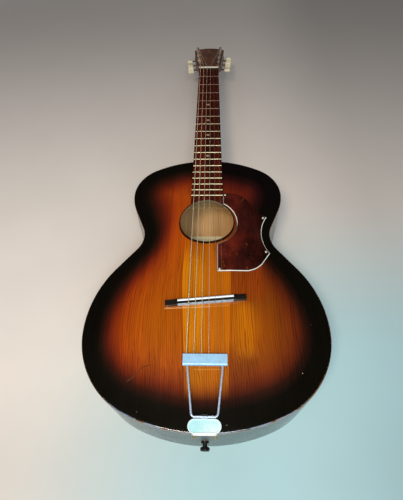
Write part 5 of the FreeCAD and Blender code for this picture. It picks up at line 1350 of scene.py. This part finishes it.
@dataclass
class Pickguard:
    """Plate over the treble side of the soundhole, with a polished bevel all round.

    Places along the body are measured from the soundhole's centre.

    Args:
        box: Soundbox that it lies on.
        gap, thickness: Its height over the top, and its thickness.
        bevel, bevel_drop: Width and height of the bevel.
        left, bottom, top: Its left edge and both ends.
        hole_clear, ring_x, ring_drop: Room round the soundhole, and the middle of the arc that keeps it.
        board_edge: Its left edge along the fretboard.
        least_width: Width that is left where both edges meet.
        near_edge: Distances of the outer columns from the edge.
        even: Share of even spacing in its rows; the rest crowds towards both ends.
        rows, columns, arc_points, border_points: Points of the grid, of an arc and of the border.
    """

    box: Soundbox
    gap: float = 0.1
    thickness: float = 2.0
    bevel: float = 1.3
    bevel_drop: float = 1.2
    left: float = 16.8
    hole_clear: float = 3.0
    ring_x: float = 2.7
    ring_drop: float = 4.4
    board_edge: float = 27.78
    bottom: float = -102.0
    top: float = 60.0
    least_width: float = 0.2
    near_edge: tuple[float, ...] = (0.0, 0.25, 0.6, 1.0, 1.4, 1.9)
    even: float = 0.35
    rows: int = 150
    columns: int = 60
    arc_points: int = 40
    border_points: int = 1400

    def left_edge(self, y: np.ndarray) -> np.ndarray:
        """X of the left edge at places along the body: straight, round the soundhole, along the board."""
        ring = self.box.hole_width / 2 + self.hole_clear
        up = y + self.ring_drop
        curve = self.ring_x + np.sqrt(np.maximum(ring ** 2 - up ** 2, 0.0))
        curve = np.where(np.abs(up) < ring, curve, 0.0)
        return np.maximum(curve, np.where(up > 0, self.board_edge, self.left))

    def arc(self, start: Spot, middle: Spot, end: Spot) -> np.ndarray:
        """Points on the circle through three points, from the first to the last."""
        a, b, c = (complex(*point) for point in (start, middle, end))
        w = (c - a) / (b - a)
        centre = (b - a) * (w - abs(w) ** 2) / (2j * w.imag) + a
        angles = np.unwrap([np.angle(point - centre) for point in (a, b, c)])
        points = centre + abs(a - centre) * np.exp(1j * np.linspace(angles[0], angles[2], self.arc_points))
        return np.stack([points.real, points.imag], axis=1)

    def right_line(self) -> np.ndarray:
        """Points of the right edge from the bottom left corner up to the top."""
        foot, toe, heel = (62.0, self.bottom + 2.0), (79.8, -91.3), (90.0, -78.8)
        low_horn, waist, high_horn = (100.5, -62.5), (89.5, -25.0), (100.5, 10.0)
        dip, throat, shoulder, crown = (87.0, 19.2), (75.0, 36.0), (64.0, 51.0), (40.0, self.top + 2.0)
        line = np.vstack([
            [(self.left, self.bottom)], self.arc(foot, toe, heel), self.arc(low_horn, waist, high_horn),
            self.arc(high_horn, dip, throat), self.arc(throat, shoulder, crown)])
        return line[np.argsort(line[:, 1], kind="stable")]

    def plan(self) -> np.ndarray:
        """Grid between the left and right edges, closer spaced towards all edges.

        Returns:
            Flat points in the guitar's frame, by row and column.
        """
        line = self.right_line()
        share = np.linspace(0, 1, self.rows)
        share = self.even * share + (1 - self.even) * (0.5 - 0.5 * np.cos(np.pi * share))
        y = self.bottom + (line[-1, 1] - self.bottom) * share
        left = self.left_edge(y)
        right = np.maximum(np.interp(y, line[:, 1], line[:, 0]), left + self.least_width)
        near = np.array(self.near_edge)[:, None]
        strip = np.minimum(near[-1], (right - left) / 3)
        inset = near[:-1] * strip / near[-1]
        low, high = left + strip, right - strip
        middle = low + (high - low) * np.linspace(0, 1, self.columns)[:, None]
        x = np.concatenate([left + inset, middle, right - inset[::-1]]).T
        return np.stack([x, np.repeat(y[:, None], x.shape[1], axis=1) + self.box.hole_y()], axis=-1)

    def build(self) -> None:
        """Makes the guard.

        The height of its grid is the arch of the top plus the guard's thickness, less a straight bevel within
        its width of the outline; a wall drops from its rim to a second sheet of the grid underneath.
        """
        flat = self.plan()
        rows, columns = flat.shape[:2]
        count = rows * columns
        index = np.arange(count).reshape(rows, columns)
        loop = np.concatenate([index[0], index[1:-1, -1], index[-1, ::-1], index[-2:0:-1, 0]])
        after = np.roll(loop, -1)
        rim = flat.reshape(-1, 2)[np.append(loop, loop[0])]
        run = run_length(rim)
        fine = np.linspace(0, run[-1], self.border_points)
        border = np.stack([np.interp(fine, run, rim[:, 0]), np.interp(fine, run, rim[:, 1])], axis=1)
        inset = least_distance(flat, border)
        drop = self.bevel_drop * np.clip(1 - inset / self.bevel, 0.0, 1.0)
        body = self.box.outline
        foot = body.depth + body.arch(flat[..., 1], least_distance(flat, body.line)) + self.gap
        points = np.stack([raised(flat, foot + self.thickness - drop), raised(flat, foot)]) * MM
        sheet = grid_faces(rows, columns)
        wall = np.stack([loop, loop + count, after + count, after], axis=1)
        faces = np.concatenate([sheet[:, ::-1], wall, sheet + count])
        piece = make_piece("bevelled_pickguard", points, faces, sharp_degrees=20.0)
        store_values(piece, "inset", np.stack([inset, np.full_like(inset, -self.thickness)]) * MM)
        fit_out(piece, TORTOISE, "guitar", "tortoise", "pickguard")


# Strings
@dataclass
class Strings:
    """Six strings from the tailpiece over the saddle and nut to their posts.

    Args:
        widths, wraps: Diameters from the thickest down, and widths of their wrap wires, 0 for plain ones.
        scale, nut_length: Scale length and length of the nut.
        body_fret, neck_angle: Origin of the neck's frame and its fall in degrees.
        head_drop, head_tilt: Step down to the headstock behind the nut, and its further fall in degrees.
        nut_span, saddle_span, bar_span: Spread of the strings.
        height_at_nut, height_at_body: Heights of their undersides over the board.
        hinge, wire_share: Hinge of the tailpiece, and its wire's share of the way from there to the bridge.
        bar_depth, bar_drop: Depth of the string bar, and how far the strings lie below its middle.
        ball_width, ball_length, ball_back, ball_sides: Ball ends, their place in the bar, their points round.
        ball_profile: Shares of half a ball's length and of its radius, from its end to its groove.
        bend, bend_points: Reach of the bends at saddle and nut both ways, and their points.
        post_width, post_first_x: Posts, and the place of the first across the head.
        head_length, head_flare, head_widening, head_corner: Headstock; the last is a share of the length.
        post_first, post_step: Places of the posts as shares of the head's length.
        wind_gap, wind_space, wind_height, wind_turns, wind_points: Turns on a post, and the points of a turn.
        sides: Points round a string.
    """

    widths: tuple[float, ...] = (1.35, 1.07, 0.81, 0.61, 0.41, 0.30)
    wraps: tuple[float, ...] = (0.42, 0.36, 0.30, 0.26, 0.0, 0.0)
    scale: float = 628.65
    nut_length: float = 5.0
    body_fret: Place = (0.0, 232.0, 116.0)
    neck_angle: float = 2.0
    head_drop: float = 4.0
    head_tilt: float = 12.0
    nut_span: float = 38.5
    saddle_span: float = 47.6
    bar_span: float = 50.0
    height_at_nut: float = 1.3
    height_at_body: float = 3.5
    hinge: Place = (0.0, -216.4, 110.85)
    wire_share: float = 0.4167
    bar_depth: float = 12.4
    bar_drop: float = 1.0
    ball_width: float = 3.6
    ball_length: float = 4.0
    ball_back: float = 3.4
    ball_sides: int = 24
    ball_profile: tuple[Spot, ...] = ((1.0, 0.00556), (1.0, 0.86), (0.9, 1.0), (0.45, 1.0), (0.3, 0.8))
    bend: float = 2.4
    bend_points: int = 9
    post_width: float = 6.0
    post_first_x: float = 23.0
    head_length: float = 160.0
    head_flare: float = 25.0
    head_widening: float = 9.0
    head_corner: float = 0.892
    post_first: float = 0.278
    post_step: float = 0.2163
    wind_gap: float = 0.25
    wind_space: float = 0.5
    wind_height: float = 8.6
    wind_turns: int = 3
    wind_points: int = 40
    sides: int = 12

    def neck(self) -> Tilt:
        """Frame of the neck, at the fret at the body."""
        return Tilt(self.body_fret, -self.neck_angle)

    def head(self) -> Tilt:
        """Frame of the headstock, behind the nut."""
        origin = self.neck().placed(np.array([0.0, self.scale / 2 + self.nut_length, -self.head_drop]))
        return Tilt(tuple(origin), -self.neck_angle - self.head_tilt)

    def height(self, y: float) -> float:
        """Height of the strings' underside over the board, in the neck frame."""
        return self.height_at_body + (self.height_at_nut - self.height_at_body) * y / (self.scale / 2)

    def tailpiece(self) -> tuple[Tilt, float]:
        """Frame of the tailpiece, which points at the saddle, and the length of its wire."""
        reach = BRIDGE_Y - self.body_fret[1]
        pull = self.neck().placed(np.array([0.0, reach, self.height(reach)])) - np.array(self.hinge)
        tilt = Tilt(self.hinge, math.degrees(math.atan2(pull[2], pull[1])))
        return tilt, self.wire_share * (BRIDGE_Y - self.hinge[1])

    def across(self, number: int, span: float) -> float:
        """Place of a string across a span."""
        return span * (number / (len(self.widths) - 1) - 0.5)

    def corners(self, number: int) -> np.ndarray:
        """Middle of a string at its ball, over the saddle and over the nut."""
        half = self.widths[number] / 2
        tail, wire = self.tailpiece()
        ball_x = self.across(number, self.bar_span)
        ball = tail.placed(np.array([ball_x, wire + self.bar_depth - self.ball_back, -self.bar_drop]))
        x = self.across(number, self.saddle_span)
        y = BRIDGE_Y + x * math.tan(math.radians(BRIDGE_SLANT)) - self.body_fret[1]
        saddle = self.neck().placed(np.array([x, y, self.height(y) + half]))
        nut_x, nut_y = self.across(number, self.nut_span), self.scale / 2 + self.nut_length / 2
        nut = self.neck().placed(np.array([nut_x, nut_y, self.height(self.scale / 2) + half]))
        return np.stack([ball, saddle, nut])

    def winding(self, number: int, nut: np.ndarray) -> np.ndarray:
        """Points of a string's turns on its post: a helix that starts where the string touches the post.

        Args:
            number: String, from the thickest.
            nut: Its middle over the nut.

        Returns:
            Points in millimetres, three to a row.
        """
        last = len(self.widths) - 1
        side = -1 if 2 * number < last else 1
        row = min(number, last - number)
        lean = math.atan2(self.head_widening, self.head_corner * self.head_length - self.head_flare)
        step = row * self.post_step * self.head_length
        post_x = side * (self.post_first_x + step * math.sin(lean))
        post_y = self.post_first * self.head_length + step * math.cos(lean)
        radius = self.post_width / 2 + self.wind_gap + self.widths[number] / 2
        away = self.head().measured(nut) - np.array([post_x, post_y, self.wind_height])
        start = math.atan2(away[1], away[0]) - side * math.acos(radius / math.hypot(away[0], away[1]))
        turns = np.linspace(0, self.wind_turns, self.wind_points * self.wind_turns + 1)
        angle = start - side * turns * TURN
        height = self.wind_height - (self.widths[number] + self.wind_space) * turns
        helix = np.stack([post_x + radius * np.cos(angle), post_y + radius * np.sin(angle), height], axis=1)
        return self.head().placed(helix)

    def rounded(self, corners: np.ndarray) -> np.ndarray:
        """Line through corners, bent in a small smooth curve at each of them.

        Near a corner the curve is the quadratic blend of the points a bend's reach before and after it.
        """
        line = [corners[:1]]
        share = np.linspace(0, 1, self.bend_points)[:, None]
        for before, corner, after in zip(corners, corners[1:], corners[2:]):
            enter, leave = corner + self.bend * unit(np.stack([before - corner, after - corner]))
            line.append((1 - share) ** 2 * enter + 2 * share * (1 - share) * corner + share ** 2 * leave)
        return np.vstack(line + [corners[-1:]])

    def ball(self, centre: np.ndarray) -> tuple[np.ndarray, np.ndarray]:
        """Ball end: a spool across the string, turned from a profile with a groove at its middle."""
        near = np.array(self.ball_profile) * (-self.ball_length / 2, self.ball_width / 2)
        profile = np.vstack([near, near[::-1] * (-1.0, 1.0)])
        turn = np.linspace(0, TURN, self.ball_sides, endpoint=False)
        x = np.repeat(profile[:, :1], self.ball_sides, axis=1)
        points = np.stack([x, profile[:, 1:] * np.cos(turn), profile[:, 1:] * np.sin(turn)], axis=-1) + centre
        return points, grid_faces(len(profile), self.ball_sides, round_columns=True)[:, ::-1]

    def build(self) -> None:
        """Makes the six strings, each with its ball end and windings."""
        for number, (width, wrap) in enumerate(zip(self.widths, self.wraps)):
            node = f"string_{len(self.widths) - number}"
            corners = self.corners(number)
            turns = self.winding(number, corners[-1])
            path = np.vstack([self.rounded(np.vstack([corners, turns[:1]])), turns[1:]])
            points, faces = swept_tube(path * MM, width / 2 * MM, self.sides)
            ball, ball_faces = self.ball(corners[0])
            rings = len(points)
            places = np.concatenate([points.reshape(-1, 3), ball.reshape(-1, 3) * MM])
            faces = np.concatenate([faces, ball_faces + rings * self.sides])
            piece = make_piece(f"{node}_wire", places, faces, sharp_degrees=50.0)
            run = np.repeat(np.pad(run_length(path), 1, mode="edge") * MM, self.sides)
            turn = np.tile(np.arange(self.sides) / self.sides, rings)
            on_ball = np.zeros(ball.size // 3)
            store_values(piece, "run", np.concatenate([run, on_ball]))
            store_values(piece, "turn", np.concatenate([turn, on_ball]))
            tones, slot = (WOUND_TONES, "wound_string") if wrap > 0.0 else (PLAIN_TONES, "plain_string")
            fit_out(piece, StringMetal(f"{node}_metal", *tones, wrap), "guitar", slot, node)


# Studio
@dataclass(frozen=True)
class Lamp:
    """Soft rectangular lamp that faces a target.

    Args:
        name: Name of the lamp.
        place, target: Places in metres.
        size: Width and height of the lamp in metres.
        power: Power in watts.
        colour: Colour of its light.
    """

    name: str
    place: Place
    target: Place
    size: Spot
    power: float
    colour: tuple[float, float, float]

    def build(self) -> None:
        """Adds the lamp to the scene."""
        data = bpy.data.lights.new(self.name, "AREA")
        data.shape = "RECTANGLE"
        data.size, data.size_y = self.size
        data.energy = self.power
        data.color = self.colour
        item = bpy.data.objects.new(self.name, data)
        item.location = self.place
        item.rotation_euler = (Vector(self.target) - Vector(self.place)).to_track_quat("-Z", "Y").to_euler()
        bpy.context.scene.collection.objects.link(item)


LAMPS = (
    Lamp("key", (-0.24, -0.64, 1.25), (0.0, 0.05, 0.1), (0.26, 0.26), 9.0, (1.0, 0.83, 0.63)),
    Lamp("front", (0.14, -0.75, 1.17), (0.0, 0.05, 0.1), (0.3, 0.3), 5.8, (0.84, 0.97, 1.0)),
    Lamp("cool", (0.1, -1.3, 0.85), (0.0, -0.1, 0.05), (1.5, 0.4), 4.7, (0.72, 0.9, 1.0)),
)


@dataclass
class Studio:
    """Floor, lamps and camera.

    Args:
        eye: Place of the camera.
        forward, above: Its viewing direction and its upward direction.
        focal: Focal length in pixels of the image.
        image_height: Height of the image in pixels.
        sensor: Height of the sensor.
        near: Distance in metres from which the camera sees.
        floor_reach, floor_drop, floor_points: Half the floor's width, its depth, and its points along a side.
    """

    eye: Place = (11.49, -311.87, 628.0)
    forward: Place = (-0.03134763, 0.55342518, -0.83230877)
    above: Place = (0.00009604, 0.83271968, 0.55369479)
    focal: float = 390.0
    image_height: float = 500.0
    sensor: float = 36.0
    near: float = 0.01
    floor_reach: float = 4000.0
    floor_drop: float = 0.5
    floor_points: int = 9

    def camera(self) -> None:
        """Camera at the photograph's viewing angle."""
        data = bpy.data.cameras.new("camera")
        data.sensor_fit = "VERTICAL"
        data.sensor_height = self.sensor
        data.lens = self.focal / self.image_height * self.sensor
        data.clip_start = self.near
        item = bpy.data.objects.new("camera", data)
        forward, above = Vector(self.forward).normalized(), Vector(self.above)
        right = forward.cross(above).normalized()
        turn = Matrix((right, right.cross(forward), -forward)).transposed().to_4x4()
        item.matrix_world = Matrix.Translation(Vector(self.eye) * MM) @ turn
        bpy.context.scene.collection.objects.link(item)
        bpy.context.scene.camera = item

    def floor(self) -> None:
        """Wide floor under the guitar, as a grid."""
        count = self.floor_points
        side = np.linspace(-self.floor_reach, self.floor_reach, count) * MM
        x, y = np.meshgrid(side, side, indexing="ij")
        points = np.stack([x, y, np.full_like(x, -self.floor_drop * MM)], axis=-1)
        piece = make_piece("floor", points, grid_faces(count, count))
        piece.data.materials.append(FLOOR.material())

    def world(self) -> None:
        """Light from all round, of one strength for the camera, one for mirror rays and one for the rest."""
        world = bpy.data.worlds.new("studio")
        world.use_nodes = True
        sheet = NodeSheet(world.node_tree)
        path = sheet.outputs(sheet.node("ShaderNodeLightPath", {}))
        mirrored = path["Is Glossy Ray"] * (BACKDROP_MIRRORED - BACKDROP_LIGHT)
        seen = path["Is Camera Ray"] * (BACKDROP_SEEN - BACKDROP_LIGHT)
        background = world.node_tree.nodes["Background"]
        sheet.fill(background, {"Color": BACKDROP, "Strength": mirrored + seen + BACKDROP_LIGHT})
        bpy.context.scene.world = world

    def build(self) -> None:
        """Sets up the view, the floor, the lamps and the surrounding light."""
        self.camera()
        self.floor()
        for lamp in LAMPS:
            lamp.build()
        self.world()
        bpy.context.scene.view_settings.view_transform = "Standard"


def main() -> None:
    """Builds the guitar's looks in order."""
    logging.basicConfig(level=logging.INFO)
    soundbox = Soundbox(BodyOutline())
    kept = (BODY, NECK, BRIDGE, GUARD_SCREWS, TAILPIECE, PLATES, *TUNERS)
    for part in (soundbox, *kept, Pickguard(soundbox), Strings(), Studio()):
        part.build()


if __name__ == "__main__":
    main()
